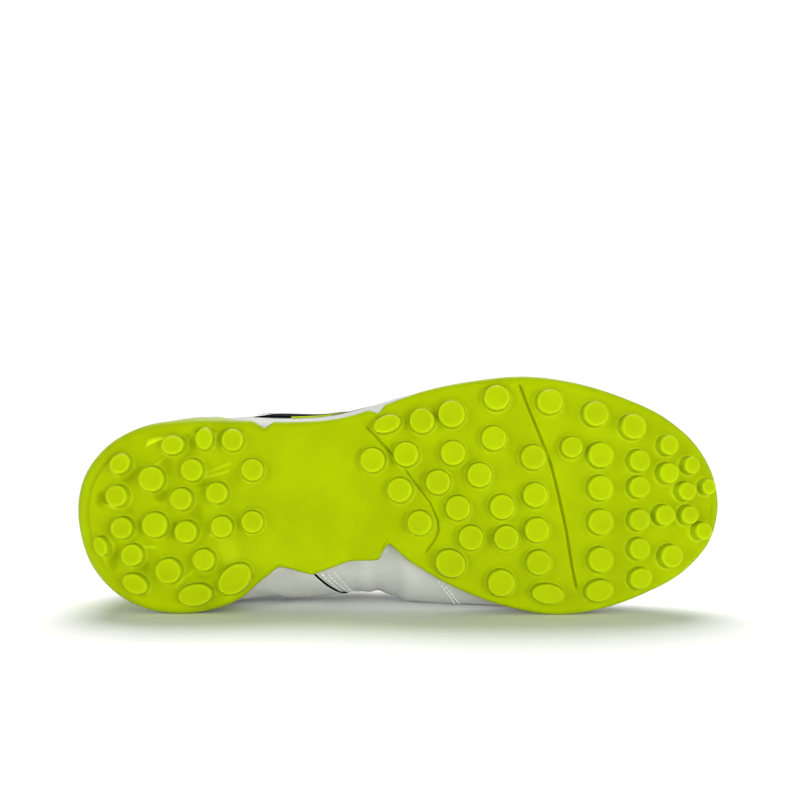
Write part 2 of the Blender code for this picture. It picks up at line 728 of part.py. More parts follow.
def make_overlay(name, places, steps, corners, colour):
    """Panel on the upper's own face. corners(a, b) gives the place and share."""
    b = np.linspace(0, 1, steps + 1)[None, :]
    g, v = np.broadcast_arrays(*corners(places[:, None], b))
    inner = upper_point(g, v, PANEL_GAP)
    outer = upper_point(g, v, PANEL_GAP + OVERLAY)
    return make_object(name, patch_solid(inner, outer), colour, 0.5)


def counter_corners(g, b):
    """Heel counter: round the heel back, high behind and falling to the front."""
    level = 1 - smooth_step(0.05, COUNTER_TURN, np.abs(2 * g))
    low = wall_share(g, np.full_like(g, RIM_HEIGHT + 2 * GAP))
    front, gain = COUNTER_RISE
    return g, low + (front + gain * level - low) * b


def saddle_corners(side):
    """Side panel between two runs along the last, leaning forward as it rises."""
    low_run, high_run, (low, high) = SADDLES[side]

    def corners(a, b):
        rear = low_run[0] + (high_run[0] - low_run[0]) * b
        front = low_run[1] + (high_run[1] - low_run[1]) * b
        return place_of(side, rear + (front - rear) * a), low + (high - low) * b

    return corners


def stay_low(g):
    """Lower edge of the eyestay, as a share up the wall."""
    return STAY_DEPTH[0] + STAY_DEPTH[1] * smooth_step(0.55, 0.80, turn_of(g))


def stay_corners(g, b):
    """Eyestay: from the top eyelet round the foot of the throat to the other side."""
    low, line = stay_low(g), 1 - 1 / WALL_STEPS
    return g, low + (line - low) * np.minimum(1, 1.5 * b) + 0.1 * np.maximum(0, 3 * b - 2)


def eyelet_places():
    """Place and share of each eyelet, in pairs from the foot of the throat up."""
    turns = np.linspace(*EYELET_TURNS, EYELET_PAIRS)
    return [(turn / 2, 1 - turn / 2, EYELET_LINE) for turn in turns]


def eyelet_cutter(name):
    """Pins square to the wall at every eyelet."""
    bm = bmesh.new()
    for medial, lateral, share in eyelet_places():
        for g in (medial, lateral):
            at = np.array([g])
            low = Vector(upper_point(at, share, -3 * WALL)[0])
            high = Vector(upper_point(at, share, 3 * WALL)[0])
            axis = (high - low).normalized()
            turn = axis.to_track_quat("Z", "Y").to_matrix().to_4x4()
            frame = Matrix.Translation((low + high) / 2) @ turn
            bmesh.ops.create_cone(
                bm,
                cap_ends=True,
                segments=8,
                radius1=EYELET_RADIUS,
                radius2=EYELET_RADIUS,
                depth=(high - low).length,
                matrix=frame,
            )
    return helper_object(name, bm)


def tongue_row(place, depth):
    """Across the throat: up one wall's inside, over the gap, down the other's."""
    shares = np.array([1 - 2 / WALL_STEPS, 1 - 1 / WALL_STEPS, 0.98])
    medial = upper_point(place, shares, -depth)
    lateral = upper_point(1 - place, shares, -depth)[::-1]
    edge, other = medial[-1], lateral[0]
    span = np.linalg.norm(other - edge) * TONGUE_CROWN
    rise = (medial[-1] - medial[-2]) / np.linalg.norm(medial[-1] - medial[-2])
    back = (lateral[0] - lateral[1]) / np.linalg.norm(lateral[0] - lateral[1])
    t = np.linspace(0, 1, 5)[1:-1, None]
    w = 1 - t
    gap = w**3 * edge + 3 * w**2 * t * (edge + rise * span)
    gap += 3 * w * t**2 * (other + back * span) + t**3 * other
    return np.vstack([medial, gap, lateral])


def tongue_face(depth):
    """One face of the tongue: rows under the throat, then its free top."""
    rows = [tongue_row(place, depth) for place in facet_places(*TONGUE_RUN)[::-1]]
    last, middle = rows[-1], len(rows[-1]) // 2
    reach = rows[-1][middle] - rows[-2][middle]
    reach /= np.linalg.norm(reach)
    for share in (0.3, 0.6, 0.85, 1.0):
        narrow = 1 - TONGUE_TAPER * share**0.6
        row = last[middle] + (last - last[middle]) * (1, narrow, 1)
        rows.append(row + reach * TONGUE_REACH * share)
    return np.array(rows)


def make_tongue():
    """Padded tongue under the throat, standing past the top eyelets."""
    top = tongue_face(WALL + GAP)
    base = tongue_face(WALL + GAP + TONGUE_THICKNESS)
    return make_object("tongue", patch_solid(base, top), (0.02, 0.02, 0.02), 0.8)


def lace_anchors():
    """Each eyelet pair's two places on the stay, and the way up the wall there."""
    over = PANEL_GAP + OVERLAY + 5 * GAP + LACE_THICKNESS
    pairs = []
    for medial, lateral, share in eyelet_places():
        pair = []
        for g in (medial, lateral):
            spot = upper_point(g, share, over)
            rise = upper_point(g, share + 0.04, over) - spot
            pair.append((spot, rise / np.linalg.norm(rise)))
        pairs.append(pair)
    return pairs


def add_lace(bm, start, end, along, crown, lift):
    """Flat lace from eyelet to eyelet: an arc that leaves each side up the wall."""
    (spot, rise), (far_spot, far_rise) = start, end
    reach = crown * np.linalg.norm(far_spot - spot)
    t = np.linspace(-0.03, 1.03, LACE_STEPS)[:, None]
    w = 1 - t
    path = w**3 * spot + 3 * w**2 * t * (spot + rise * reach)
    path += 3 * w * t**2 * (far_spot + far_rise * reach) + t**3 * far_spot
    run = np.gradient(path, axis=0)
    run /= np.linalg.norm(run, axis=1)[:, None]
    side = along - run * (run @ along)[:, None]
    side /= np.linalg.norm(side, axis=1)[:, None]
    up = np.cross(run, side)
    up *= np.sign(up[LACE_STEPS // 2, 2])
    path += up * lift
    ring = []
    for across, height in ((-1, -1), (1, -1), (1, 1), (-1, 1)):
        ring.append(path + side * across * LACE_WIDTH / 2 + up * height * LACE_THICKNESS / 2)
    verts = [[bm.verts.new(p) for p in row] for row in np.stack(ring, axis=1).tolist()]
    for near, far in zip(verts, verts[1:]):
        for k in range(4):
            n = (k + 1) % 4
            bm.faces.new((near[k], near[n], far[n], far[k]))
    bm.faces.new(verts[0][::-1])
    bm.faces.new(verts[-1])
    bmesh.ops.recalc_face_normals(bm, faces=bm.faces)


def make_laces():
    """Crossed lace bars over the tongue, joined to one solid."""
    pairs = lace_anchors()
    along = pairs[0][0][0] - pairs[-1][0][0]
    along /= np.linalg.norm(along)
    runs = [(pairs[0][0], pairs[0][1], -0.3)]
    for (medial, lateral), (next_medial, next_lateral) in zip(pairs, pairs[1:]):
        runs += [(medial, next_lateral, 0.0), (lateral, next_medial, 0.4)]
    parts = []
    for start, end, lift in runs:
        bm = bmesh.new()
        add_lace(bm, start, end, along, LACE_CROWN, lift * LACE_THICKNESS)
        parts.append(bm)
    laces = make_object("laces", parts[0], (0.85, 0.85, 0.85), 0.9)
    for bm in parts[1:]:
        run_boolean(laces, helper_object("lace_bar", bm), "UNION")
    return laces


def floor_turn(objects):
    """Turn that lays the shoe on its medial side, on the hull face under its middle."""
    bm = bmesh.new()
    for obj in objects:
        for vert in obj.data.vertices:
            bm.verts.new(vert.co)
    middle = Vector(np.mean([v.co for v in bm.verts], axis=0))
    found = bmesh.ops.convex_hull(bm, input=bm.verts)
    best = None
    for face in [f for f in found["geom"] if isinstance(f, bmesh.types.BMFace)]:
        normal = face.normal.copy()
        if normal.dot(face.calc_center_median() - middle) < 0:
            normal.negate()
        if normal.y < 0.8:
            continue
        corners = [v.co for v in face.verts]
        hit = middle + normal * normal.dot(corners[0] - middle)
        inside = True
        for a, b in zip(corners, corners[1:] + corners[:1]):
            towards = (b - a).cross(hit - a).dot(face.normal)
            inside = inside and towards > -1e-12
        if inside:
            best = normal
    bm.free()
    down = best
    along = Vector((1, 0, 0))
    along = (along - down * along.dot(down)).normalized()
    away = (-down).cross(along)
    return Matrix((along, away, -down)).to_4x4()


def lay_down(objects):
    """Lays the shoe on the floor with the origin under the middle of its box."""
    turn = floor_turn(objects)
    for obj in objects:
        obj.data.transform(turn)
    points = np.vstack([[v.co for v in obj.data.vertices] for obj in objects])
    low, high = points.min(axis=0), points.max(axis=0)
    shift = Vector((-(low[0] + high[0]) / 2, -(low[1] + high[1]) / 2, -low[2]))
    for obj in objects:
        obj.data.transform(Matrix.Translation(shift))
    return Matrix.Translation(shift) @ turn


def build_shoe():
    """Every piece of the shoe, modelled upright and then laid on its side."""
    for obj in list(bpy.data.objects):
        bpy.data.objects.remove(obj)
    white, black, lime = (0.78, 0.79, 0.77), (0.01, 0.01, 0.01), (0.50, 0.72, 0.02)
    pieces = [make_sole(), make_upper(), make_insole(), make_tongue(), make_laces()]
    around = facet_places(-COUNTER_TURN / 2, COUNTER_TURN / 2)
    pieces.append(make_overlay("heel_counter", around, 4, counter_corners, lime))
    along = np.linspace(0, 1, 7)
    lateral, medial = saddle_corners("lateral"), saddle_corners("medial")
    pieces.append(make_overlay("saddle_lateral", along, 6, lateral, black))
    pieces.append(make_overlay("saddle_medial", along, 8, medial, white))
    around = facet_places(*STAY_RUN)
    pieces.append(make_overlay("eyestay", around, 3, stay_corners, white))
    for obj in pieces:
        if obj.name in ("upper", "eyestay"):
            run_boolean(obj, eyelet_cutter("eyelet_pins"), "DIFFERENCE")
    return lay_down(pieces)


placed = build_shoe()
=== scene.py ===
"""Looks of a right turf shoe that lies on its inner side and shows its sole.

Every surface is worked out in the shoe's own last frame, as its solids are:
x from the heel back to the toe, y from the lateral to the medial side, z up
from the ground under the studs, all in metres. The function lay then turns it
onto its side, on the floor.
"""

import math

import bmesh
import bpy
import numpy as np
from mathutils import Matrix, Vector


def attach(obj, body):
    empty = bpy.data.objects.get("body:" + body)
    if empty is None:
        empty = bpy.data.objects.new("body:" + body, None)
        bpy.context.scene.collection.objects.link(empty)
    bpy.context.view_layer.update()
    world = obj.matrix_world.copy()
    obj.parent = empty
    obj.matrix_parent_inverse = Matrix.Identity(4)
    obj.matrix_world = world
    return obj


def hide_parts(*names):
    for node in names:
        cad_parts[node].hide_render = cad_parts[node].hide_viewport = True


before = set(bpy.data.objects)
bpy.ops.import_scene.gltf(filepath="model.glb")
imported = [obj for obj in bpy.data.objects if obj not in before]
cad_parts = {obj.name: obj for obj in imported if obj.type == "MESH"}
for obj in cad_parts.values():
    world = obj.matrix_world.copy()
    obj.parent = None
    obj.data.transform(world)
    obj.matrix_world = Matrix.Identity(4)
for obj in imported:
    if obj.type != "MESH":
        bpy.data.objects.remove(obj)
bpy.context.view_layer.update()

# Sizes. The solids have them too, but for the panels' thickness, gap, foot and sag, the
# tongue's run, some steps of the sole's edge, the lateral side's bulge, and what is
# named for the scene alone further down
LAST_LENGTH = 0.2784
BALL_WIDTH = 0.0980
HEEL_SEAT = 0.0220
INSTEP_TOP = 0.0930
WALL = 0.0020
COLLAR_PAD = 0.0062
GAP = 0.0003
PANEL_GAP = 0.0001
OVERLAY = 0.0009
SOLE_LIP = 0.0035
HEEL_THICKNESS = 0.0145
EDGE_ROUND = 0.0042
RIM_HEIGHT = 0.0040
RIM_THICKNESS = 0.0013
PARTING_DEPTH = 0.0006
EDGE_BREAK = 0.0003
EDGE_FALL = 0.0005
LEAST_STEP = 0.0001
INSOLE_THICKNESS = 0.0036
STUD_RADIUS = 0.0053
STUD_LENGTH = 0.0068

# Overlays. Counter: share of the loop, share up the wall at its fronts and what it
# gains behind. Eyestay: run round the loop, lower edge and what it gains towards
# the toe, upper edge. Side panels: rear and front along the last at the foot, the
# same at the top, shares up the wall of both, and how far the foot sags
COUNTER_TURN = 0.33
COUNTER_RISE = (0.34, 0.28)
STAY_RUN = (0.222, 0.778)
STAY_DEPTH = (0.74, 0.11)
STAY_TOP = 0.975
SADDLES = {
    "lateral": ((0.262, 0.386), (0.305, 0.490), (0.30, 0.72)),
    "medial": ((0.250, 0.343), (0.330, 0.425), (0.05, 0.72)),
}
SADDLE_SAG = {"lateral": 0.058, "medial": 0.0}

# Eyelets, with the half turn of the pair at the throat's foot and of the top pair,
# and their share up the wall
EYELET_PAIRS = 6
EYELET_RADIUS = 0.0019
EYELET_TURNS = (0.655, 0.455)
EYELET_LINE = 0.90

# Tongue: places round the loop between which it lies under the throat, and shares up the wall
# between which its sides lie; crown and taper are shares of its width
TONGUE_THICKNESS = 0.0040
TONGUE_REACH = 0.0240
TONGUE_CROWN = 0.33
TONGUE_TAPER = 0.40
TONGUE_RUN = (0.225, 0.450)
TONGUE_SIDES = (0.75, 0.98)

# Laces: section, and crown of their arc as a share of the way across
LACE_WIDTH = 0.0060
LACE_THICKNESS = 0.0014
LACE_CROWN = 0.40

# Steps of the feather line's table, and stretches of the loop over which the wall's
# and the sole edge's directions are evened out
FINE = 720
BROAD = 0.024
EDGE_REACH = 0.010

# The scene's own: height of the lowest points over the floor, depth of a panel's
# back in the leather, share of a panel's length that is pared down, rise of the
# rolled top edge as a share of half its width, and the steps of the sole's rounding
FLOOR_SKIN = 0.00002
SUNK = 0.0002
SKIVE_RUN = 0.22
EDGE_ROLL = 0.7
ROUNDING_DEGREES = (14, 28, 40, 52, 64, 77, 90)

# How the last frame lies on the floor: tilt of the sole off upright, turn about
# the upright axis, and the shift of its origin
TILT = math.radians(4.825960)
YAW = math.radians(0.0577174)
SHIFT = (-0.1392066, -0.0472652, 0.0522166)

# Bottom edge of the upper, heel back first and then round by the medial side:
# share of LAST_LENGTH, share of BALL_WIDTH
FEATHER = (
    (0.000, 0.068), (0.004, 0.158), (0.020, 0.285), (0.056, 0.401), (0.107, 0.472),
    (0.160, 0.488), (0.204, 0.469), (0.241, 0.428), (0.273, 0.349), (0.304, 0.290),
    (0.352, 0.266), (0.408, 0.235), (0.455, 0.208), (0.484, 0.190), (0.503, 0.224),
    (0.535, 0.282), (0.590, 0.370), (0.667, 0.453), (0.752, 0.492), (0.820, 0.466),
    (0.882, 0.406), (0.951, 0.300), (0.988, 0.180), (1.000, 0.036), (0.993, -0.080),
    (0.970, -0.199), (0.920, -0.323), (0.850, -0.415), (0.772, -0.480), (0.696, -0.506),
    (0.618, -0.486), (0.540, -0.441), (0.471, -0.372), (0.402, -0.318), (0.328, -0.304),
    (0.240, -0.311), (0.161, -0.313), (0.093, -0.279), (0.043, -0.200), (0.010, -0.080),
)

# Steps of the sole's edge: share of LAST_LENGTH, step as a share of SOLE_LIP
EDGE_STEPS = {
    "medial": ((0.286, 0.00), (0.304, -0.20), (0.357, 1.50), (0.416, 0.70),
               (0.468, 1.40), (0.484, -0.45), (0.520, 0.00)),
    "lateral": ((0.266, 0.00), (0.286, -0.80), (0.301, 0.00),
                (0.456, 0.00), (0.468, -0.75), (0.481, 0.00)),
}

# Side profile of the sole: share of LAST_LENGTH, seat as a share of HEEL_SEAT,
# thickness of HEEL_THICKNESS, rim of RIM_HEIGHT, edge rounding of EDGE_ROUND
SOLE_PROFILE = (
    (0.00, 1.03, 0.78, 1.00, 1.15),
    (0.07, 1.00, 1.00, 1.00, 1.10),
    (0.20, 1.00, 1.00, 0.80, 1.00),
    (0.29, 0.98, 0.84, 0.00, 0.70),
    (0.38, 0.89, 0.59, 0.00, 0.50),
    (0.46, 0.79, 0.50, 0.00, 0.50),
    (0.56, 0.67, 0.51, 0.35, 0.60),
    (0.66, 0.63, 0.49, 0.80, 0.65),
    (0.78, 0.66, 0.50, 0.90, 0.65),
    (0.90, 0.88, 0.50, 1.00, 0.65),
    (1.00, 1.22, 0.44, 1.00, 0.65),
)

# Sections of the upper, heel back (0) to toe tip (1) on each side: turn, top
# edge along, out and up, bulge, spread, rise and drop of the arc's two handles
UPPER_ENDS = (
    (0.00, 0.018, 0.000, 0.900, 0.050, 0.045, 0.26, 0.24),
    (1.00, 0.690, 0.000, 0.745, 0.030, 0.480, 0.19, 0.12),
)
UPPER_MEDIAL = (
    (0.12, 0.033, 0.165, 0.893, 0.030, 0.040, 0.25, 0.24),
    (0.21, 0.092, 0.305, 0.845, 0.008, 0.040, 0.24, 0.24),
    (0.30, 0.188, 0.350, 0.775, 0.030, 0.070, 0.22, 0.24),
    (0.38, 0.298, 0.320, 0.860, 0.210, 0.170, 0.15, 0.28),
    (0.44, 0.382, 0.200, 0.990, 0.270, 0.300, 0.13, 0.28),
    (0.52, 0.484, 0.130, 0.945, 0.270, 0.420, 0.16, 0.20),
    (0.60, 0.574, 0.112, 0.860, 0.095, 0.410, 0.22, 0.16),
    (0.68, 0.632, 0.098, 0.797, 0.030, 0.360, 0.21, 0.14),
    (0.78, 0.667, 0.072, 0.761, 0.030, 0.350, 0.20, 0.15),
    (0.90, 0.686, 0.034, 0.747, 0.030, 0.420, 0.19, 0.14),
)
UPPER_LATERAL = (
    (0.12, 0.033, 0.165, 0.893, 0.045, 0.050, 0.25, 0.24),
    (0.21, 0.092, 0.310, 0.835, 0.070, 0.070, 0.24, 0.24),
    (0.30, 0.188, 0.350, 0.750, 0.090, 0.080, 0.22, 0.24),
    (0.38, 0.298, 0.320, 0.850, 0.118, 0.150, 0.17, 0.28),
    (0.44, 0.382, 0.195, 0.985, 0.122, 0.300, 0.17, 0.28),
    (0.52, 0.484, 0.130, 0.942, 0.090, 0.440, 0.20, 0.22),
    (0.60, 0.574, 0.112, 0.857, 0.045, 0.390, 0.22, 0.15),
    (0.68, 0.632, 0.098, 0.795, 0.030, 0.370, 0.21, 0.14),
    (0.78, 0.667, 0.072, 0.761, 0.030, 0.370, 0.20, 0.15),
    (0.90, 0.686, 0.034, 0.747, 0.030, 0.430, 0.19, 0.14),
)

# Rows of round studs: along at the middle of the last, slant, bow, tip radius
# as a share of STUD_RADIUS, places across from lateral (-) to medial (+)
STUD_ROWS = (
    (0.059, 0.000, 0.34, 0.87, (-0.005, 0.138, 0.258)),
    (0.112, 0.018, 0.19, 1.02, (-0.080, 0.124, 0.329)),
    (0.159, -0.058, 0.65, 0.89, (-0.120, 0.009, 0.155, 0.280)),
    (0.214, 0.000, 0.36, 0.87, (-0.253, -0.018, 0.133)),
    (0.269, 0.000, -0.08, 0.89, (-0.121, 0.111)),
    (0.510, 0.246, -0.40, 1.00, (-0.165, -0.031, 0.116)),
    (0.580, 0.264, -0.48, 1.00, (-0.191, -0.066, 0.049, 0.182)),
    (0.653, 0.211, -0.72, 1.00, (-0.196, -0.098, 0.044, 0.182)),
    (0.648, 0.000, 0.00, 1.00, (-0.262,)),
    (0.713, 0.018, 0.00, 1.00, (-0.177, -0.009, 0.147, 0.292)),
    (0.770, 0.000, 0.00, 0.85, (-0.222,)),
    (0.814, 0.000, 0.00, 1.02, (-0.187, -0.040, 0.111, 0.280)),
    (0.875, 0.000, 0.00, 0.87, (-0.163, -0.044, 0.102, 0.232)),
    (0.918, -0.034, 0.00, 0.83, (-0.108, 0.081)),
    (0.952, 0.044, 0.00, 0.75, (-0.027, 0.081)),
)

# Studs that follow the edge: share of LAST_LENGTH; then distance in from the
# edge, half length along it and half width, as shares of STUD_RADIUS
EDGE_STUDS = {
    "medial": (
        (0.013, 1.85, 0.79, 0.53), (0.077, 1.74, 1.06, 0.75), (0.183, 1.53, 1.36, 0.87),
        (0.253, 1.58, 1.51, 1.06), (0.571, 1.64, 1.25, 1.09), (0.653, 1.80, 1.08, 1.08),
        (0.730, 1.74, 1.28, 0.79), (0.816, 1.63, 1.13, 0.87), (0.883, 1.48, 0.94, 0.83),
        (0.940, 1.94, 0.94, 0.94), (0.990, 1.32, 0.72, 0.72),
    ),
    "lateral": (
        (0.046, 2.06, 0.87, 0.75), (0.142, 2.11, 0.91, 0.75), (0.195, 1.72, 0.68, 0.87),
        (0.476, 1.47, 1.13, 0.68), (0.526, 2.41, 1.00, 1.00), (0.575, 2.47, 1.08, 1.08),
        (0.650, 1.74, 1.04, 0.98), (0.739, 2.03, 1.04, 0.98), (0.815, 2.20, 1.04, 0.98),
        (0.876, 2.11, 1.02, 1.00), (0.937, 1.98, 0.79, 0.79), (0.976, 1.73, 0.68, 0.68),
        (0.996, 1.10, 0.60, 0.60),
    ),
}

# The two grooves across the sole, from the lateral to the medial side: share
# of LAST_LENGTH, share of BALL_WIDTH
SHANK_GROOVE = (
    (0.4400, -0.3500), (0.4426, -0.3357), (0.4713, -0.2495), (0.5033, -0.1543),
    (0.5352, -0.0318), (0.5512, 0.0227), (0.5639, 0.1043), (0.5655, 0.1497),
    (0.5607, 0.1860), (0.5352, 0.2949), (0.5310, 0.3130),
)
FLEX_GROOVE = (
    (0.6880, -0.5400), (0.6917, -0.5217), (0.7061, -0.4083), (0.7268, -0.2586),
    (0.7412, -0.1452), (0.7524, -0.0091), (0.7636, 0.1497), (0.7716, 0.3085),
    (0.7796, 0.4219), (0.7860, 0.5200),
)

# Each groove: its line, its place in STATIONS, half width and depth in metres, and the
# shares of the way across where it starts and ends, both eased over SOFT_END
GROOVES = (
    (SHANK_GROOVE, 2, 0.00040, 0.0008, (0.05, 0.93)),
    (FLEX_GROOVE, 3, 0.00055, 0.0011, (-0.1, 0.91)),
)
SOFT_END = 0.02

# Depth of a groove and of a pocket at which their painted shade is full, height of a
# # rib at which its painted light is full, and the painted light at a stud's root
GROOVE_FULL_SHADE = 0.0015
POCKET_FULL_SHADE = 0.0013
RIB_FULL_LIGHT = 0.0009
ROOT_PAINTED_LIGHT = 0.8

# Rows of the sole's skin: position in the grid, then share of LAST_LENGTH where
# that row starts on the lateral and on the medial edge
STATIONS = (
    (0.00, 0.000, 0.000),
    (0.24, 0.240, 0.240),
    (0.50, 0.440, 0.534),
    (0.76, 0.689, 0.785),
    (0.88, 0.880, 0.880),
    (1.00, 1.000, 1.000),
)


def hermite(knots, rows, at):
    """Cubic through the rows, with each row's slope from its two neighbours."""
    knots = np.asarray(knots, float)
    rows = np.asarray(rows, float)
    step = np.diff(knots)[:, None]
    slope = np.diff(rows, axis=0) / step
    inner = (slope[:-1] * step[1:] + slope[1:] * step[:-1]) / (step[1:] + step[:-1])
    tangent = np.vstack([slope[:1], inner, slope[-1:]])
    at = np.asarray(at, float)
    i = np.clip(np.searchsorted(knots, at, side="right") - 1, 0, len(knots) - 2)
    h = step[i]
    t = ((at - knots[i]) / h[:, 0])[:, None]
    t2, t3 = t * t, t * t * t
    near = (2 * t3 - 3 * t2 + 1) * rows[i] + (t3 - 2 * t2 + t) * h * tangent[i]
    far = (3 * t2 - 2 * t3) * rows[i + 1] + (t3 - t2) * h * tangent[i + 1]
    return near + far


def hermite_loop(knots, rows, at, period=1.0):
    """The same cubic round a closed loop: three rows are repeated past each end."""
    knots = np.asarray(knots, float)
    rows = np.asarray(rows, float)
    knots = np.concatenate([knots[-3:] - period, knots, knots[:3] + period])
    rows = np.vstack([rows[-3:], rows, rows[:3]])
    return hermite(knots, rows, np.mod(at, period))


def smooth_step(low, high, value):
    """0 below low, 1 above high, and 3t^2 - 2t^3 between."""
    t = np.clip((value - low) / (high - low), 0, 1)
    return t * t * (3 - 2 * t)


def unit(vectors):
    """Vectors scaled to length 1 along the last axis."""
    return vectors / np.linalg.norm(vectors, axis=-1, keepdims=True)


def cubic(t, start, low, high, end):
    """Cubic arc: (1-t)^3 start + 3(1-t)^2 t low + 3(1-t) t^2 high + t^3 end."""
    w = 1 - t
    return w**3 * start + 3 * w**2 * t * low + 3 * w * t**2 * high + t**3 * end


def rolled(share):
    """Quarter circle: 0 at share 0, rising steeply and then ever less to 1 at share 1."""
    return np.sqrt(1 - (1 - np.clip(share, 0, 1)) ** 2)


def run_length(path):
    """Length along a path up to each of its points."""
    return np.concatenate([[0], np.cumsum(np.linalg.norm(np.diff(path, axis=0), axis=1))])


def turn_of(g):
    """Half turn, 0 at the heel back to 1 at the toe tip, of a place g round the loop."""
    return 1 - np.abs(1 - 2 * np.mod(g, 1.0))


def along_of(g):
    """Share of LAST_LENGTH of a place g: half of 1 - cos of its half turn."""
    return (1 - np.cos(math.pi * turn_of(g))) / 2


def place_of(side, along):
    """Place g round the loop of a share of LAST_LENGTH on one side."""
    turn = np.arccos(1 - 2 * np.clip(along, 0, 1)) / math.pi
    return turn / 2 if side == "medial" else 1 - turn / 2


def trace_feather():
    """Feather line at FINE even places g, with its outward normals, as four columns."""
    points = np.array(FEATHER) * (LAST_LENGTH, BALL_WIDTH)
    chord = np.linalg.norm(np.diff(np.vstack([points, points[:1]]), axis=0), axis=1)
    knots = np.concatenate([[0], np.cumsum(chord)[:-1]])
    dense = hermite_loop(knots, points, np.linspace(0, chord.sum(), 4 * FINE), chord.sum())
    dense[:, 0] = np.clip(dense[:, 0], 0, LAST_LENGTH)
    tip = int(np.argmax(dense[:, 0]))
    g = np.arange(FINE) / FINE
    along = LAST_LENGTH * along_of(g)
    medial = np.interp(along, dense[: tip + 1, 0], dense[: tip + 1, 1])
    lateral = np.interp(along, dense[tip:][::-1, 0], dense[tip:][::-1, 1])
    across = np.where(g <= 0.5, medial, lateral)
    ease = np.array([1, 2, 3, 2, 1]) / 9
    across = sum(w * np.roll(across, k - 2) for k, w in enumerate(ease))
    dx = np.roll(along, -3) - np.roll(along, 3)
    dy = np.roll(across, -3) - np.roll(across, 3)
    size = np.hypot(dx, dy)
    return np.column_stack([along, across, -dy / size, dx / size])


FEATHER_FINE = trace_feather()


def feather(g):
    """Point and outward normal of the feather line at places g."""
    at = np.mod(np.mod(np.asarray(g, float), 1.0) * FINE, FINE)
    rows = np.vstack([FEATHER_FINE, FEATHER_FINE[:1]])
    low = np.floor(at).astype(int)
    share = (at - low)[:, None]
    found = rows[low] * (1 - share) + rows[low + 1] * share
    return found[:, :2], unit(found[:, 2:])


def sole_heights(x):
    """Seat height, underside height, rim height and edge rounding at x."""
    rows = np.array(SOLE_PROFILE)
    sizes = (HEEL_SEAT, HEEL_THICKNESS, RIM_HEIGHT, EDGE_ROUND)
    share = np.clip(np.asarray(x, float) / LAST_LENGTH, 0, 1)
    found = hermite(rows[:, 0], rows[:, 1:], share.ravel()) * sizes
    seat, thickness, rim, rounding = found.T.reshape(4, *share.shape)
    return seat, seat - thickness, np.maximum(rim, LEAST_STEP), rounding


def broad_normal(g, reach=BROAD):
    """Outward normal of the feather line, evened out over a stretch to each side."""
    return unit(sum(feather(g + shift)[1] for shift in np.linspace(-reach, reach, 9)))


def sole_edge(g):
    """Points of the sole's outermost edge at places g, seen from above."""
    point, normal = feather(g)[0], broad_normal(g, EDGE_REACH)
    share = point[:, 0] / LAST_LENGTH
    steps = {side: np.array(rows).T for side, rows in EDGE_STEPS.items()}
    medial = np.interp(share, *steps["medial"])
    lateral = np.interp(share, *steps["lateral"])
    step = np.where(np.mod(g, 1.0) <= 0.5, medial, lateral)
    return point + normal * (SOLE_LIP * (1 + step))[:, None]


def upper_rows():
    """The sections of the upper as one loop: places and rows."""
    heel, toe = UPPER_ENDS
    medial = [(row[0] / 2, row[1:], 1) for row in UPPER_MEDIAL]
    lateral = [(1 - row[0] / 2, row[1:], -1) for row in reversed(UPPER_LATERAL)]
    loop = [(0.0, heel[1:], 1), *medial, (0.5, toe[1:], 1), *lateral]
    places = [place for place, _, _ in loop]
    rows = []
    for _, (along, out, up, bulge, spread, rise, drop), side in loop:
        rows.append((along, side * out, up, bulge, spread, rise, drop))
    return places, rows


def ridge(x):
    """Across place of the ridge line, from the heel back to the toe tip."""
    heel, toe = FEATHER_FINE[0, 1], FEATHER_FINE[FINE // 2, 1]
    return heel + (toe - heel) * x / LAST_LENGTH


def top_line(g):
    """Top edge of the upper at places g, and the rows' handles in metres."""
    places, rows = upper_rows()
    found = hermite_loop(places, rows, g)
    x = found[:, 0] * LAST_LENGTH
    y = ridge(x) + found[:, 1] * BALL_WIDTH
    z = found[:, 2] * INSTEP_TOP
    handles = found[:, 3:] * (BALL_WIDTH, BALL_WIDTH, INSTEP_TOP, INSTEP_TOP)
    return np.column_stack([x, y, z]), handles


def wall_curve(g, v):
    """Outer face of the upper: a cubic arc from feather line (v 0) to top edge (v 1)."""
    g, v = np.broadcast_arrays(np.asarray(g, float), np.asarray(v, float))
    shape = g.shape
    g, v = g.ravel(), v.ravel()[:, None]
    foot = feather(g)[0]
    seat = sole_heights(foot[:, 0])[0] + GAP
    top, handles = top_line(g)
    bulge, spread, rise, drop = handles.T
    near = 1e-3
    run = top_line(g + near)[0] - top_line(g - near)[0]
    away = unit(np.column_stack([-run[:, 1], run[:, 0]]))
    start = np.column_stack([foot, seat])
    low = np.column_stack([foot + broad_normal(g) * bulge[:, None], seat + rise])
    high = np.column_stack([top[:, :2] + away * spread[:, None], top[:, 2] - drop])
    return cubic(v, start, low, high, top).reshape(*shape, 3)


def wall_normal(g, v):
    """Outward unit normal of the upper's outer face."""
    g, v = np.broadcast_arrays(np.asarray(g, float), np.asarray(v, float))
    near = 2e-3
    low, high = np.clip(v - near, 0, 1), np.clip(v + near, 0, 1)
    along = wall_curve(g + near, v) - wall_curve(g - near, v)
    up = wall_curve(g, high) - wall_curve(g, low)
    return unit(np.cross(up, along))


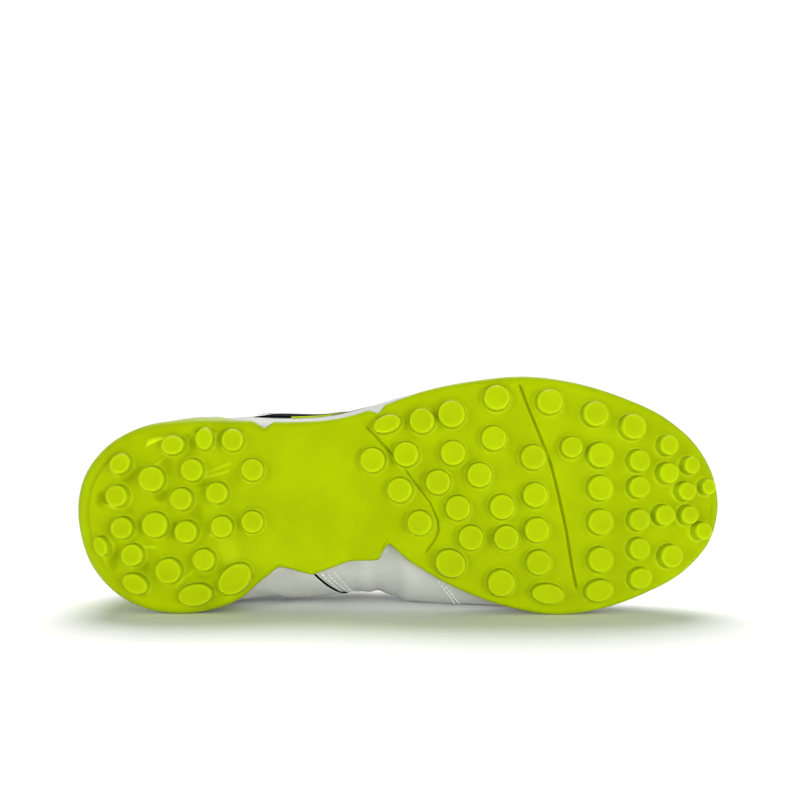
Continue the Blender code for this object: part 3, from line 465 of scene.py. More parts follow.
# Creases and puffs of the leather: side, place along, share up the wall, lean
# of the line (share of length gained per share up), half length up the wall,
# half width as a share of length, depth (-) or height (+) in metres
FOLDS = (
    ("medial", 0.386, 0.30, 0.12, 0.20, 0.006, -0.0004),
    ("medial", 0.394, 0.30, 0.12, 0.20, 0.006, 0.0004),
    ("medial", 0.403, 0.30, 0.12, 0.20, 0.006, -0.0004),
    ("medial", 0.425, 0.30, 0.05, 0.22, 0.011, -0.0004),
    ("medial", 0.466, 0.28, 0.05, 0.24, 0.011, -0.0004),
    ("medial", 0.508, 0.30, 0.04, 0.26, 0.012, -0.0005),
    ("medial", 0.446, 0.28, 0.05, 0.24, 0.015, 0.0005),
    ("medial", 0.488, 0.30, 0.05, 0.26, 0.016, 0.0006),
    ("medial", 0.535, 0.34, 0.05, 0.30, 0.018, 0.0006),
    ("medial", 0.720, 0.62, 0.14, 0.26, 0.010, -0.0008),
    ("medial", 0.752, 0.60, 0.10, 0.24, 0.009, -0.0006),
    ("medial", 0.790, 0.62, 0.08, 0.22, 0.010, -0.0005),
    ("lateral", 0.700, 0.60, 0.16, 0.26, 0.010, -0.0008),
    ("lateral", 0.735, 0.60, 0.12, 0.24, 0.009, -0.0006),
    ("lateral", 0.775, 0.62, 0.10, 0.22, 0.010, -0.0005),
)


def fold_height(g, v):
    """Sum of the folds: each is a soft ridge or trough, a bell in both directions."""
    along = along_of(g)
    medial = np.mod(g, 1.0) <= 0.5
    total = np.zeros(np.broadcast(g, v).shape)
    for side, place, share, lean, reach, width, height in FOLDS:
        off = (along - place - lean * (v - share)) / width
        bell = np.exp(-off**2) * np.exp(-(((v - share) / reach) ** 4))
        total = total + np.where(medial == (side == "medial"), height * bell, 0)
    return total


def skin(g, v, out=0.0):
    """The upper's outer face with its folds, moved out along its normal by out."""
    g, v = np.broadcast_arrays(np.asarray(g, float), np.asarray(v, float))
    rise = fold_height(g, v) + np.asarray(out, float)
    return wall_curve(g, v) + wall_normal(g, v) * rise[..., None]


def wall_share(g, height):
    """Share v where the upper's outer face reaches that height over the seat."""
    g = np.asarray(g, float)
    seat = wall_curve(g, 0.0)[..., 2]
    low, high = np.zeros_like(g), np.full_like(g, 0.5)
    for _ in range(18):
        middle = (low + high) / 2
        over = wall_curve(g, middle)[..., 2] - seat > height
        high = np.where(over, middle, high)
        low = np.where(over, low, middle)
    return low


def laid():
    """Rotation and shift from the last frame to the row frame."""
    level = math.cos(TILT)
    down = np.array([-math.sin(YAW) * level, math.cos(YAW) * level, math.sin(TILT)])
    along = np.array([1.0, 0.0, 0.0]) - down * down[0]
    along /= np.linalg.norm(along)
    return np.array([along, np.cross(-down, along), -down]), np.array(SHIFT)


TURN, PLACE = laid()


def lay(points):
    """Last frame to row frame, for an array of points."""
    return points @ TURN.T + PLACE


def grid_quads(rows, columns, wrap_rows=False, wrap_columns=False):
    """Corner numbers of a grid's quads; a wrapped direction joins last to first."""
    i = np.arange(rows if wrap_rows else rows - 1)[:, None]
    j = np.arange(columns if wrap_columns else columns - 1)[None, :]
    here, beyond = i * columns, (i + 1) % rows * columns
    after = (j + 1) % columns
    corners = np.broadcast_arrays(here + j, here + after, beyond + after, beyond + j)
    return np.stack(corners, axis=-1).reshape(-1, 4)


def ring_quads(grids):
    """Quads of several like grids of rings, one grid after another, each ring closed."""
    count, rings, around, _ = grids.shape
    quads = grid_quads(rings, around, False, True)
    return (quads[None] + (np.arange(count) * rings * around)[:, None, None]).reshape(-1, 4)


def with_tips(rings):
    """Rings with one of no size added at the middle of the first and of the last."""
    ends = (rings[..., :1, :, :], rings[..., -1:, :, :])
    first, last = (ring.mean(axis=-2, keepdims=True) + 0 * ring for ring in ends)
    return np.concatenate([first, rings, last], axis=-3)


def add_object(name, data):
    """New object in the scene."""
    obj = bpy.data.objects.new(name, data)
    bpy.context.scene.collection.objects.link(obj)
    return obj


def make_piece(name, points, quads, materials, slot, merge=2e-7, marks=None, finish=None):
    """Mesh piece in the row frame: laid down, flat where it rests on the floor, doubles
    merged, faces outward, smooth.

    marks holds one number a point under a name that materials read, and finish
    the number of the material on each quad."""
    mesh = bpy.data.meshes.new(name)
    spots = lay(points.reshape(-1, 3))
    spots[:, 2] = np.maximum(spots[:, 2], FLOOR_SKIN)
    mesh.from_pydata(spots.tolist(), [], quads.tolist())
    for mark, values in (marks or {}).items():
        layer = mesh.attributes.new(mark, "FLOAT", "POINT")
        layer.data.foreach_set("value", np.asarray(values, np.float32).ravel())
    if finish is not None:
        mesh.polygons.foreach_set("material_index", np.asarray(finish, np.int32).ravel())
    bm = bmesh.new()
    bm.from_mesh(mesh)
    bmesh.ops.remove_doubles(bm, verts=bm.verts, dist=merge)
    bmesh.ops.dissolve_degenerate(bm, edges=bm.edges, dist=merge)
    bmesh.ops.recalc_face_normals(bm, faces=bm.faces)
    bm.to_mesh(mesh)
    bm.free()
    mesh.shade_smooth()
    for material in materials if isinstance(materials, tuple) else (materials,):
        mesh.materials.append(material)
    obj = add_object(name, mesh)
    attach(obj, "root")
    return obj


def closed_sheet(inner, outer):
    """Points and quads of two like grids joined all round: a solid sheet."""
    rows, columns, _ = inner.shape
    j = np.arange(columns - 1)
    quads = [grid_quads(rows, 2 * columns, False, True)]
    for row in (0, rows - 1):
        near, far = row * 2 * columns, (row + 1) * 2 * columns - 1
        quads.append(np.column_stack([near + j, near + j + 1, far - j - 1, far - j]))
    return np.concatenate([inner, outer[:, ::-1]], axis=1), np.vstack(quads)


def bunched(count, edge):
    """0 to 1 in even steps, with four close steps in the outer edge share at each end."""
    near = edge * np.array([0.0, 0.12, 0.35, 0.65])
    return np.concatenate([near, np.linspace(edge, 1 - edge, count), 1 - near[::-1]])


def linear(code):
    """sRGB hex to a linear colour with alpha 1."""
    values = [int(code[k : k + 2], 16) / 255 for k in (1, 3, 5)]
    return tuple(c / 12.92 if c <= 0.04045 else ((c + 0.055) / 1.055) ** 2.4 for c in values) + (1.0,)


def start_finish(name, **sockets):
    """New material: fixed values go on the Principled shader's own sockets."""
    material = bpy.data.materials.new(name)
    material.use_nodes = True
    shader = material.node_tree.nodes["Principled BSDF"]
    for socket, value in sockets.items():
        shader.inputs[socket.replace("_", " ")].default_value = value
    return material, material.node_tree, shader


def add_node(tree, kind, sockets=(), **settings):
    """One node. settings are its own properties; sockets pairs a socket's name or
    number with a value, or with (node, output) to link it."""
    made = tree.nodes.new(kind)
    for key, value in settings.items():
        setattr(made, key, value)
    for key, value in dict(sockets).items():
        if isinstance(value, tuple) and isinstance(value[0], bpy.types.Node):
            tree.links.new(value[0].outputs[value[1]], made.inputs[key])
        else:
            made.inputs[key].default_value = value
    return made


def feed(tree, shader, **sources):
    """Links a (node, output) to each of the shader's sockets that is named."""
    for socket, (node, output) in sources.items():
        tree.links.new(node.outputs[output], shader.inputs[socket.replace("_", " ")])


def two_tone(tree, factor, low, high, span=(0.35, 0.65)):
    """Colour between two hex tones as a factor goes over its span."""
    ramp = add_node(tree, "ShaderNodeValToRGB", {0: factor})
    for stop, code, place in zip(ramp.color_ramp.elements, (low, high), span):
        stop.color, stop.position = linear(code), place
    return ramp


# What pigmented lime plastic and rubber reflect: light tinted by their own colour
LIME_TINT = linear("#DDF63F")


def moulded_rubber():
    """Turf outsole rubber, lime pigment through and through, from a spark-eroded
    mould: soft low gloss, and light carried a few millimetres under the skin. Painted
    shade darkens the grooves and pockets, and painted light makes the studs, most of
    all their walls, and the ribs, pads and stud roots paler, to lift the shade that falls
    on them. The spark grain of 0.3 mm is drawn at 0.45 mm to show."""
    material, tree, shader = start_finish(
        "moulded_lime_rubber", Subsurface_Weight=0.7, Subsurface_Scale=0.0035,
        Subsurface_Radius=(0.8, 1.0, 0.05), Specular_IOR_Level=0.22,
        Specular_Tint=LIME_TINT, IOR=1.4,
    )
    place = add_node(tree, "ShaderNodeTexCoord")
    spark = add_node(tree, "ShaderNodeTexNoise", {
        "Vector": (place, "Object"), "Scale": 1 / 0.00045, "Detail": 1.0,
    })
    cloud = add_node(tree, "ShaderNodeTexNoise", {
        "Vector": (place, "Object"), "Scale": 1 / 0.018, "Detail": 2.0,
    })
    tone = two_tone(tree, (cloud, "Fac"), "#879800", "#8DA000")
    output = "Color"
    # Painted shade and painted light: the first mark darkens grooves and pockets towards #6B7B00, the
    # second pales studs, ribs, pads and roots towards #A8BD12
    for mark, code in (("recess", "#6B7B00"), ("raised", "#A8BD12")):
        share = add_node(tree, "ShaderNodeAttribute", attribute_name=mark)
        tone = add_node(tree, "ShaderNodeMix", {
            0: (share, "Fac"), 6: (tone, output), 7: linear(code),
        }, data_type="RGBA")
        output = 2
    gloss = add_node(tree, "ShaderNodeMapRange", {
        "Value": (spark, "Fac"), "To Min": 0.44, "To Max": 0.60,
    })
    bump = add_node(tree, "ShaderNodeBump", {
        "Height": (spark, "Fac"), "Strength": 0.22, "Distance": 0.00010,
    })
    feed(tree, shader, Base_Color=(tone, output), Roughness=(gloss, 0), Normal=(bump, 0))
    return material


def soft_leather(name, low, high, gloss, cell, depth, coat, shine=0.5):
    """Milled cowhide with a pigmented finish: round pebbles about a millimetre
    across parted by fine creases, pores inside them, and a thin clear top coat."""
    material, tree, shader = start_finish(
        name, Coat_Weight=coat, Coat_Roughness=0.32, IOR=1.47, Specular_IOR_Level=shine,
    )
    place = add_node(tree, "ShaderNodeTexCoord")
    sway = add_node(tree, "ShaderNodeTexNoise", {
        "Vector": (place, "Object"), "Scale": 1 / 0.004, "Detail": 3.0,
    })
    bent = add_node(tree, "ShaderNodeMix", {
        0: 0.0012, 4: (place, "Object"), 5: (sway, "Color"),
    }, data_type="VECTOR")
    pebble = add_node(tree, "ShaderNodeTexVoronoi", {
        "Vector": (bent, 1), "Scale": 1 / cell,
    }, feature="DISTANCE_TO_EDGE")
    crease = add_node(tree, "ShaderNodeMapRange", {
        "Value": (pebble, "Distance"), "From Max": 0.16, "To Max": 1.0,
    })
    pores = add_node(tree, "ShaderNodeTexNoise", {
        "Vector": (place, "Object"), "Scale": 1 / 0.0003, "Detail": 2.0,
    })
    stretch = add_node(tree, "ShaderNodeTexNoise", {
        "Vector": (place, "Object"), "Scale": 1 / 0.011, "Detail": 5.0, "Roughness": 0.6,
    })
    colour = two_tone(tree, (stretch, "Fac"), low, high, (0.30, 0.70))
    sheen = add_node(tree, "ShaderNodeMapRange", {
        "Value": (crease, "Result"), "To Min": gloss + 0.14, "To Max": gloss,
    })
    grain = add_node(tree, "ShaderNodeBump", {
        "Height": (crease, "Result"), "Strength": 0.55, "Distance": depth,
    })
    fine = add_node(tree, "ShaderNodeBump", {
        "Height": (pores, "Fac"), "Strength": 0.25, "Distance": 0.00008, "Normal": (grain, 0),
    })
    soft = add_node(tree, "ShaderNodeBump", {
        "Height": (stretch, "Fac"), "Strength": 0.5, "Distance": 0.0006, "Normal": (fine, 0),
    })
    feed(tree, shader, Base_Color=(colour, 0), Roughness=(sheen, 0), Normal=(soft, 0))
    return material


def knit_mesh(name, low, high, pitch, fuzz):
    """Polyester spacer mesh, as on tongues and collar linings: round eyes in a close
    knit every pitch metres, painted darker than the yarn as shade inside them, dull,
    with a faint fuzz at grazing light."""
    material, tree, shader = start_finish(
        name, Sheen_Weight=fuzz, Sheen_Roughness=0.5, Roughness=0.85, Specular_IOR_Level=0.25,
    )
    place = add_node(tree, "ShaderNodeTexCoord")
    eye = add_node(tree, "ShaderNodeTexVoronoi", {
        "Vector": (place, "Object"), "Scale": 1 / pitch, "Randomness": 0.25,
    })
    yarn = add_node(tree, "ShaderNodeMapRange", {
        "Value": (eye, "Distance"), "From Min": 0.12, "From Max": 0.42,
    })
    # Painted shade: the eyes are darker than the yarn round them
    colour = two_tone(tree, (yarn, "Result"), low, high, (0.2, 0.9))
    bump = add_node(tree, "ShaderNodeBump", {
        "Height": (yarn, "Result"), "Strength": 0.8, "Distance": 0.00035,
    })
    feed(tree, shader, Base_Color=(colour, 0), Normal=(bump, 0))
    return material


def coated_microfibre():
    """Lime PU-coated microfibre of the heel counter: smooth and fairly glossy, with a
    hair-cell emboss about 0.7 mm across."""
    material, tree, shader = start_finish(
        "lime_coated_microfibre", Specular_IOR_Level=0.22, Specular_Tint=LIME_TINT, IOR=1.4,
    )
    place = add_node(tree, "ShaderNodeTexCoord")
    cells = add_node(tree, "ShaderNodeTexVoronoi", {
        "Vector": (place, "Object"), "Scale": 1 / 0.0007,
    }, feature="SMOOTH_F1")
    cloud = add_node(tree, "ShaderNodeTexNoise", {"Vector": (place, "Object"), "Scale": 1 / 0.02})
    colour = two_tone(tree, (cloud, "Fac"), "#8FA604", "#98B00A")
    gloss = add_node(tree, "ShaderNodeMapRange", {
        "Value": (cells, "Distance"), "To Min": 0.32, "To Max": 0.46,
    })
    bump = add_node(tree, "ShaderNodeBump", {
        "Height": (cells, "Distance"), "Strength": 0.3, "Distance": 0.00012,
    })
    feed(tree, shader, Base_Color=(colour, 0), Roughness=(gloss, 0), Normal=(bump, 0))
    return material


def woven_lace():
    """Flat polyester lace: a herringbone of 1.2 mm ribs that meet on its middle line,
    from the piece's own marks along and across it, with painted shade in the troughs
    between the ribs."""
    material, tree, shader = start_finish(
        "woven_polyester_lace", Sheen_Weight=0.25, Roughness=0.8, Specular_IOR_Level=0.3,
    )
    along = add_node(tree, "ShaderNodeAttribute", attribute_name="along")
    across = add_node(tree, "ShaderNodeAttribute", attribute_name="across")
    side = add_node(tree, "ShaderNodeMath", {0: (across, "Fac")}, operation="ABSOLUTE")
    lean = add_node(tree, "ShaderNodeMath", {
        0: (side, 0), 1: 0.9, 2: (along, "Fac"),
    }, operation="MULTIPLY_ADD")
    turn = add_node(tree, "ShaderNodeMath", {
        0: (lean, 0), 1: 2 * math.pi / 0.0012,
    }, operation="MULTIPLY")
    rib = add_node(tree, "ShaderNodeMath", {0: (turn, 0)}, operation="SINE")
    level = add_node(tree, "ShaderNodeMapRange", {"Value": (rib, 0), "From Min": -1.0})
    # Painted shade: the troughs of the ribs are darker than their crests
    colour = two_tone(tree, (level, "Result"), "#C9C9C4", "#ECECE8", (0.0, 0.8))
    bump = add_node(tree, "ShaderNodeBump", {
        "Height": (level, "Result"), "Strength": 0.7, "Distance": 0.00025,
    })
    feed(tree, shader, Base_Color=(colour, 0), Normal=(bump, 0))
    return material


def bonded_thread(name, low, high):
    """Bonded nylon sewing thread: three plies show as a slant stripe 0.6 mm long, with painted shade
    in the grooves between the plies.
    """
    material, tree, shader = start_finish(name, Roughness=0.55, Sheen_Weight=0.15)
    place = add_node(tree, "ShaderNodeTexCoord")
    ply = add_node(tree, "ShaderNodeTexWave", {
        "Vector": (place, "Object"), "Scale": 1 / 0.0012,
    }, bands_direction="DIAGONAL")
    # Painted shade: the grooves between the plies are darker than the plies
    colour = two_tone(tree, (ply, "Fac"), low, high, (0.1, 0.8))
    bump = add_node(tree, "ShaderNodeBump", {
        "Height": (ply, "Fac"), "Strength": 0.5, "Distance": 0.0001,
    })
    feed(tree, shader, Base_Color=(colour, 0), Normal=(bump, 0))
    return material


def paper_floor():
    """Matt white studio paper, with a very faint unevenness of tone."""
    material, tree, shader = start_finish(
        "white_studio_paper", Roughness=0.95, Specular_IOR_Level=0.1,
    )
    place = add_node(tree, "ShaderNodeTexCoord")
    cloud = add_node(tree, "ShaderNodeTexNoise", {"Vector": (place, "Object"), "Scale": 3.0})
    colour = two_tone(tree, (cloud, "Fac"), "#FAFAFA", "#FDFDFD")
    feed(tree, shader, Base_Color=(colour, 0))
    return material


LIME = moulded_rubber()
WHITE = soft_leather("white_milled_leather", "#A8AAA3", "#B3B6AE", 0.50, 0.0012, 0.00016, 0.10)
BLACK = soft_leather("black_soft_leather", "#030303", "#060607", 0.80, 0.0009, 0.00010, 0.0, 0.06)
LIME_SKIN = coated_microfibre()
TEXTILE = knit_mesh("black_spacer_mesh", "#050506", "#202023", 0.0015, 0.30)
FOOTBED = knit_mesh("footbed_jersey", "#0C0C0E", "#26262A", 0.0009, 0.20)
LACE = woven_lace()
THREAD = bonded_thread("white_nylon_thread", "#B9BBB5", "#E4E5E0")


# The sole


def side_section(g):
    """Sole's side from underside to seat at places g: rounding, parting step, rim.

    The rounding is a quarter circle, the step lies PARTING_DEPTH in from the edge, and
    the rim stands RIM_THICKNESS thick outside the upper. Where there is no rim, the
    top falls to a broken edge."""
    foot, out = feather(g)[0], broad_normal(g, EDGE_REACH)
    seat, under, rim, rounding = sole_heights(foot[:, 0])
    edge = sole_edge(g)
    wall = seat - under
    rounding = np.minimum(rounding, 0.55 * wall)

    def column(line, distance, height):
        """The line in plan moved outward by a distance, at a height."""
        moved = line + out * np.broadcast_to(distance, seat.shape)[:, None]
        return np.column_stack([moved, height])

    columns = [column(edge, -1.25 * rounding, under)]
    for degrees in ROUNDING_DEGREES:
        sine, cosine = math.sin(math.radians(degrees)), math.cos(math.radians(degrees))
        columns.append(column(edge, -rounding * (1 - sine), under + rounding * (1 - cosine)))
    parting = under + rounding + 0.28 * (wall - rounding)
    for inward, up in ((0, -0.25), (0.25, 0), (1, 1), (1, 1.6)):
        columns.append(column(edge, -inward * PARTING_DEPTH, parting + up * PARTING_DEPTH))
    lip = wall_curve(g, wall_share(g, rim))[:, :2] + out * 0.5 * GAP
    reach = np.einsum("ij,ij->i", lip - foot, out)
    room = np.einsum("ij,ij->i", edge - foot, out) - PARTING_DEPTH
    bare = 1 - smooth_step(0.1 * RIM_HEIGHT, 0.5 * RIM_HEIGHT, rim)
    room = np.maximum(room, RIM_THICKNESS * (1 - 0.7 * bare))
    inner = np.minimum(GAP, room - 0.5 * RIM_THICKNESS)
    reach = np.minimum(reach * (1 - bare) + inner * bare, room - 0.5 * RIM_THICKNESS)
    shoulder = np.minimum(reach + RIM_THICKNESS, room)
    shoulder = np.maximum(shoulder * (1 - bare) + (room - EDGE_BREAK) * bare, reach + LEAST_STEP)
    top = seat + rim - EDGE_FALL * bare
    columns += [
        column(foot, shoulder + 0.10 * (room - shoulder), top - 2.5 * EDGE_BREAK),
        column(foot, shoulder, top - EDGE_BREAK),
        column(foot, 0.5 * (shoulder + reach), top - 0.15 * EDGE_BREAK),
        column(foot, reach, top - 0.3 * EDGE_BREAK),
        column(foot, inner - 2 * LEAST_STEP, seat),
    ]
    return np.stack(columns, axis=1)


def groove_bow(groove, lateral, medial, b):
    """How far ahead of the straight line between its ends the groove runs, at shares b across."""
    table = np.array(groove) * (LAST_LENGTH, BALL_WIDTH)
    y = lateral[1] + (medial[1] - lateral[1]) * b
    ends = np.interp([lateral[1], medial[1]], table[:, 1], table[:, 0])
    return np.interp(y, table[:, 1], table[:, 0]) - (ends[0] + (ends[1] - ends[0]) * b)


# Rows of the plate's grid: share taken by the close rows at each end, where the heel's
# close rows end and the rest begin, and distances of the rows beside a groove from its
# line in millimetres, for which SPREAD turns shares of length into grid positions;
# then the steps across the underside and across the seat
ROW_ENDS = 0.03
HEEL_ROWS = 0.27
REST_ROWS = 0.2735
GROOVE_ROWS = (0.15, 0.32, 0.52, 0.85)
SPREAD = 0.9
ACROSS = 136
SEAT_ACROSS = 6


def plate_rows():
    """Grid positions of the rows: close in the heel, at both ends and at the grooves."""
    heel = np.linspace(ROW_ENDS, HEEL_ROWS, 150)
    rest = np.linspace(REST_ROWS, 1 - ROW_ENDS, 228)
    tip = ROW_ENDS * (np.arange(12) / 12) ** 2
    rows = np.concatenate([tip, heel, rest, 1 - tip])
    near = np.array(GROOVE_ROWS) * 0.001 / LAST_LENGTH / SPREAD
    marks = []
    for _, station, *_ in GROOVES:
        middle = STATIONS[station][0]
        marks += [middle, *(middle + near), *(middle - near)]
        rows = rows[np.abs(rows - middle) > near[-1] * 1.3]
    return np.unique(np.concatenate([rows, marks]))


# One stud from root to tip: growth past the tip's size in metres, and height as
# a share of its length
STUD_PROFILE = (
    (0.00096, -0.45), (0.00092, -0.20), (0.00084, 0.02), (0.00072, 0.12), (0.00056, 0.30),
    (0.00040, 0.52), (0.00024, 0.72), (0.00010, 0.86),
    (-0.00006, 0.93), (-0.00034, 0.970), (-0.0008, 0.991), (-0.0016, 1.000), (-0.0032, 0.994),
)
STUD_ROUND = 32

# Studs lean by STUD_LEAN of the underside's slope, read SLOPE_RUN to both sides, and
# # reach the ground where the sole lies lower than STUD_SPARE of their length. Their
# # painted light, a paler colour that lifts the shade on their walls, goes from the tip's
# # value, TIP_INSET in from the wall, to the wall's value
STUD_LEAN = 0.75
SLOPE_RUN = 0.004
STUD_SPARE = 1.15
TIP_INSET = 0.0012
TIP_PAINTED_LIGHT = 0.10
WALL_PAINTED_LIGHT = 0.60

# Fillet at a stud's root: where it starts out from the tip's size, reach and height
ROOT_START = 0.0006
ROOT_FILLET = 0.0026
ROOT_RISE = 0.0011


def stud_places():
    """Centre in plan, heading and two half sizes of each stud."""
    places = []
    for along, slant, bow, radius, across in STUD_ROWS:
        for place in across:
            x = LAST_LENGTH * (along + slant * place + bow * place**2)
            places.append((x, place * BALL_WIDTH, 0.0, radius * STUD_RADIUS, radius * STUD_RADIUS))
    for side, rows in EDGE_STUDS.items():
        for along, inset, half_length, half_width in rows:
            g = np.array([float(place_of(side, along))])
            normal = feather(g)[1][0]
            centre = sole_edge(g)[0] - normal * inset * STUD_RADIUS
            heading = math.atan2(-normal[0], normal[1])
            places.append((*centre, heading, half_length * STUD_RADIUS, half_width * STUD_RADIUS))
    return np.array(places)


def root_fillet(plan):
    """Height of the soft fillet round every stud's root over the sole at plan points.

    It falls from the stud's wall as (1 - d/f)^3, d the distance from its ellipse."""
    total = np.zeros(plan.shape[:-1])
    for x, y, heading, half_length, half_width in stud_places():
        reach = max(half_length, half_width) + 2 * ROOT_FILLET
        near = (np.abs(plan[..., 0] - x) < reach) & (np.abs(plan[..., 1] - y) < reach)
        dx, dy = plan[near][:, 0] - x, plan[near][:, 1] - y
        u = dx * math.cos(heading) + dy * math.sin(heading)
        w = dy * math.cos(heading) - dx * math.sin(heading)
        size = np.hypot(u, w)
        radius = size / np.maximum(np.hypot(u / half_length, w / half_width), 1e-9)
        away = np.clip((size - radius - ROOT_START) / ROOT_FILLET, 0, 1)
        total[near] = np.maximum(total[near], ROOT_RISE * (1 - away) ** 3)
    return total


# Hollows and pads between the heel's studs, in millimetres: along and across of
# the middle, half length, half width, height (+ out of the sole, - into it)
HEEL_POCKETS = (
    (19.6, -9.7, 3.2, 3.9, -0.8), (8.1, 0.9, 2.9, 3.3, -0.8), (34.2, -0.9, 2.9, 2.6, -0.9),
    (35.3, 15.3, 3.1, 3.0, -0.9), (25.8, 31.9, 3.6, 4.6, -0.9), (13.1, 27.2, 2.5, 5.6, -0.8),
    (51.0, -6.3, 3.1, 2.0, -0.7), (37.3, -15.0, 2.8, 5.0, -0.6), (45.6, -24.5, 3.4, 5.4, -0.6),
    (20.0, 11.4, 3.4, 7.6, -0.5), (49.2, 11.4, 3.6, 9.5, -0.6), (63.8, 8.1, 4.5, 6.7, -0.4),
    (53.5, 33.0, 4.0, 4.0, -0.5), (66.0, -8.0, 4.0, 4.0, -0.3), (21.5, 42.0, 8.5, 4.2, 0.3),
    (64.0, 24.0, 5.0, 5.5, 0.25),
)

# Thin ribs between them, in millimetres: along and across of both ends
HEEL_RIBS = (
    (43.6, -22.5, 50.3, -29.2), (32.3, -14.4, 36.8, -17.5), (52.6, -9.9, 64.7, -14.8),
    (52.6, -8.5, 63.8, -11.2), (41.3, 39.5, 48.1, 32.8), (7.7, 2.7, 14.4, 4.9),
    (27.9, 22.0, 32.3, 22.0), (22.0, -27.0, 30.5, -30.0), (56.0, 17.0, 62.0, 13.5),
)
RIB_HALF = 0.0006
RIB_HEIGHT = 0.00040

# Three-sided facets between the rim and the studs: corners in millimetres,
# with each corner's height, all FACET_STEP higher, and soft over FACET_EDGE of a side
HEEL_FACETS = (
    ((0.5, 16.5, 0.0), (8.5, 19.0, 1.1), (5.0, 28.0, 0.0)),
    ((49.5, -31.0, 0.0), (57.5, -21.0, 1.0), (60.5, -31.0, 0.0)),
    ((28.0, -22.0, 0.9), (40.5, -27.5, 0.5), (30.5, -30.5, 0.0)),
)
FACET_STEP = 0.12
FACET_EDGE = 0.06


def heel_relief(plan):
    """Height of the heel's pockets, ribs and facets over the sole at plan points.

    A pocket is a bell exp(-r^4), a rib the same across its line, and a facet the
    plane through its three corners, cut off at its sides."""
    x, y = plan[..., 0] * 1000, plan[..., 1] * 1000
    total = np.zeros_like(x)
    for along, across, length, width, height in HEEL_POCKETS:
        square = ((x - along) / length) ** 2 + ((y - across) / width) ** 2
        total += height * np.exp(-(square**2))
    for x0, y0, x1, y1 in HEEL_RIBS:
        run, side = x1 - x0, y1 - y0
        share = np.clip(((x - x0) * run + (y - y0) * side) / (run**2 + side**2), 0, 1)
        off = np.hypot(x - x0 - share * run, y - y0 - share * side) / (RIB_HALF * 1000)
        total += RIB_HEIGHT * 1000 * np.exp(-(off**2))
    for corners in HEEL_FACETS:
        (x0, y0, h0), (x1, y1, h1), (x2, y2, h2) = corners
        area = (y1 - y2) * (x0 - x2) + (x2 - x1) * (y0 - y2)
        first = ((y1 - y2) * (x - x2) + (x2 - x1) * (y - y2)) / area
        second = ((y2 - y0) * (x - x2) + (x0 - x2) * (y - y2)) / area
        third = 1 - first - second
        least = np.minimum(np.minimum(first, second), third)
        inside = smooth_step(-FACET_EDGE, FACET_EDGE, least)
        total += inside * (first * h0 + second * h1 + third * h2 + FACET_STEP)
    return total / 1000


def plate_plan(s, lateral, medial, b):
    """Plan of the underside between its edges, with the rows bent onto the grooves'
    lines, and the number of each groove's row."""
    stations = np.array(STATIONS)[:, 0]
    plan = lateral[:, None, :] * (1 - b[..., None]) + medial[:, None, :] * b[..., None]
    bow, rows = np.zeros(plan.shape[:2]), []
    for line, station, *_ in GROOVES:
        row = int(np.argmin(abs(s - stations[station])))
        weight = np.interp(s, stations[station - 1 : station + 2], [0, 1, 0])
        bow += weight[:, None] * groove_bow(line, lateral[row], medial[row], b)
        rows.append(row)
    plan[..., 0] += bow
    return plan, rows


def groove_depth(plan, rows, b):
    """Depth of the grooves at plan points: a bell exp(-(d/h)^4), d the distance from the
    groove's line and h its half width, eased in and out at the groove's ends."""
    total = np.zeros(plan.shape[:2])
    for row, (_, _, half, depth, (start, stop)) in zip(rows, GROOVES):
        lean = np.gradient(plan[row, :, 0], plan[row, :, 1])
        off = (plan[..., 0] - plan[row, :, 0][None, :]) / np.sqrt(1 + lean**2)
        begun, over = (smooth_step(end, end + SOFT_END, b) for end in (start, stop))
        total += depth * np.exp(-((off / half) ** 4)) * (begun * (1 - over))
    return total


def make_plate():
    """The sole's body: rows follow the two grooves, and relief stands on the underside."""
    s = plate_rows()
    position, lateral_start, medial_start = np.array(STATIONS).T
    lateral = side_section(place_of("lateral", np.interp(s, position, lateral_start)))
    medial = side_section(place_of("medial", np.interp(s, position, medial_start)))
    for end in (0, -1):
        lateral[end] = medial[end] = (medial[end] + lateral[end]) / 2
    b = (np.arange(1, ACROSS) / ACROSS)[None, :]
    plan, rows = plate_plan(s, lateral[:, 0, :2], medial[:, 0, :2], b)
    groove, carved, fillet = groove_depth(plan, rows, b), heel_relief(plan), root_fillet(plan)
    relief = carved + fillet
    fade = smooth_step(0.0, SOFT_END, np.minimum(b, 1 - b))
    z = sole_heights(plan[..., 0])[1] + groove - relief * fade
    share = (np.arange(1, SEAT_ACROSS) / SEAT_ACROSS)[None, :, None]
    seat = medial[:, -1:, :] * (1 - share) + lateral[:, -1:, :] * share
    seat[..., 2] = sole_heights(seat[..., 0])[0]
    under = np.concatenate([plan, z[..., None]], axis=2)
    points = np.concatenate([medial, seat, lateral[:, ::-1], under], axis=1)
    quads = grid_quads(*points.shape[:2], False, True)
    # Painted shade in the grooves and pockets, and painted light on the raised relief and the stud
    # roots
    recess, raised = np.zeros((2, *points.shape[:2]))
    shade_share = groove / GROOVE_FULL_SHADE + np.maximum(-relief, 0) * fade / POCKET_FULL_SHADE
    light_share = np.maximum(carved, 0) / RIB_FULL_LIGHT + ROOT_PAINTED_LIGHT * fillet / ROOT_RISE
    recess[:, -plan.shape[1]:] = np.clip(shade_share, 0, 1)
    raised[:, -plan.shape[1]:] = np.clip(light_share, 0, 1) * fade
    marks = {"recess": recess, "raised": raised}
    obj = make_piece("outsole_plate", points, quads, LIME, "lime_rubber", marks=marks)
    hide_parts("outsole")


